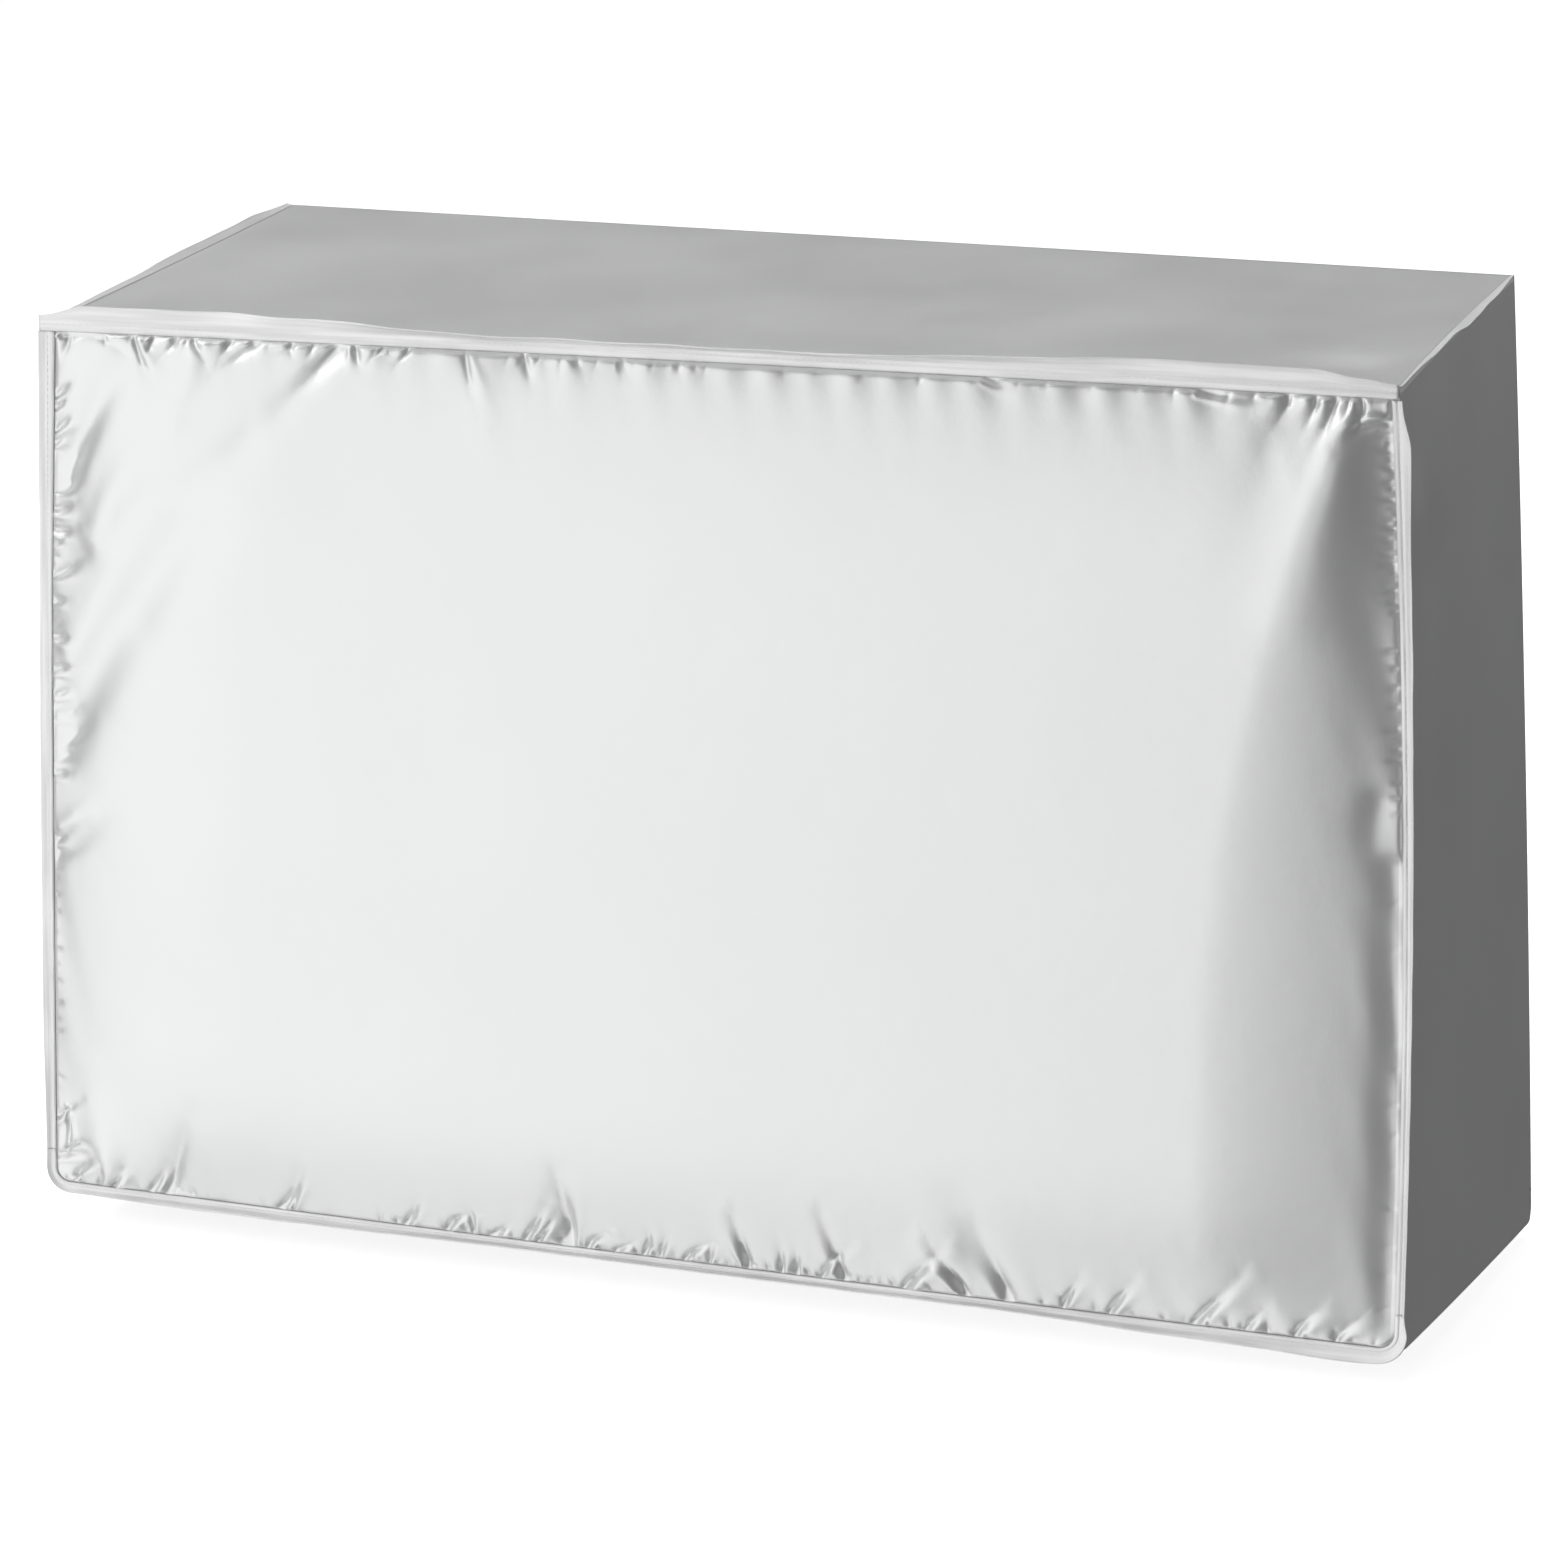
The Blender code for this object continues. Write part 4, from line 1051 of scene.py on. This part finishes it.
def main():
    silver = cloth_material("silver_cloth", (0.80, 0.803, 0.806), 0.62, 0.38)
    tape = cloth_material("binding_tape", (0.95, 0.95, 0.95), 0.35, 0.48, weave=0.18, crinkle=0.35)
    thin_tape = cloth_material("flange_tape", (0.97, 0.97, 0.97), 0.0, 0.55, weave=0.18, crinkle=0.35)
    # Painted shade and highlight streaks along the binding and flange tapes
    add_painted_shade_streaks(tape, 0.16)
    add_painted_shade_streaks(thin_tape, 0.05)
    make_translucent(thin_tape, 0.10)
    thread = cloth_material("silver_thread", (0.92, 0.92, 0.92), 0.0, 0.60)

    front = dress(make_front(), silver, "silver_cloth", "front_panel")
    top = dress(make_plain("top_cloth", "top", TOP_DIPS, 0.007, 21, hem=False), silver, "silver_cloth", "top_panel")
    right = dress(make_plain("right_cloth", "right", RIGHT_DIPS, 0.007, 31), silver, "silver_cloth", "right_panel")
    left = dress(make_plain("left_cloth", "left", LEFT_DIPS, 0.007, 41), silver, "silver_cloth", "left_panel")
    back = dress(make_plain("back_cloth", "back", BACK_DIPS, 0.008, 51), silver, "silver_cloth", "back_panel")

    tapes = [
        dress(make_tape("binding_top_tape", *top_path(), TOP_LEANS, 61, TOP_WELT), tape, "binding_tape", "binding_top"),
        dress(
            make_tape("binding_left_tape", *side_path("front_left", LEFT), LEFT_LEANS, 71, LEFT_WELT),
            tape, "binding_tape", "binding_left",
        ),
        dress(
            make_tape("binding_right_tape", *side_path("front_right", RIGHT), RIGHT_LEANS, 81, RIGHT_WELT),
            tape, "binding_tape", "binding_right",
        ),
        dress(make_tape("binding_bottom_tape", *bottom_path(), BOTTOM_LEANS, 91, BOTTOM_WELT), tape, "binding_tape", "binding_bottom"),
    ]
    flanges = []
    for name, seam, sideways, leans, node in (
        ("flange_right_tape", "top_right", RIGHT, RIGHT_FLANGE_LEANS, "flange_right"),
        ("flange_left_tape", "top_left", LEFT, LEFT_FLANGE_LEANS, "flange_left"),
    ):
        path = flange_path(seam)
        outs = np.broadcast_to(sideways, path.shape)
        strip = make_tape(name, path, outs, leans, 101 + len(flanges), forward=UP)
        flanges.append(dress(strip, thin_tape, "binding_tape", node))

    lines = []
    for path, outs in (top_path(), side_path("front_left", LEFT), side_path("front_right", RIGHT), bottom_path()):
        lines.append((path - outs * STITCH_INSET + FORWARD * 0.0016, FORWARD))
    stitches = dress(make_stitches("stitches", lines), thread, "binding_tape")

    width, height = panel_size(PANELS["front"])

    make_stage()
    make_camera()


main()
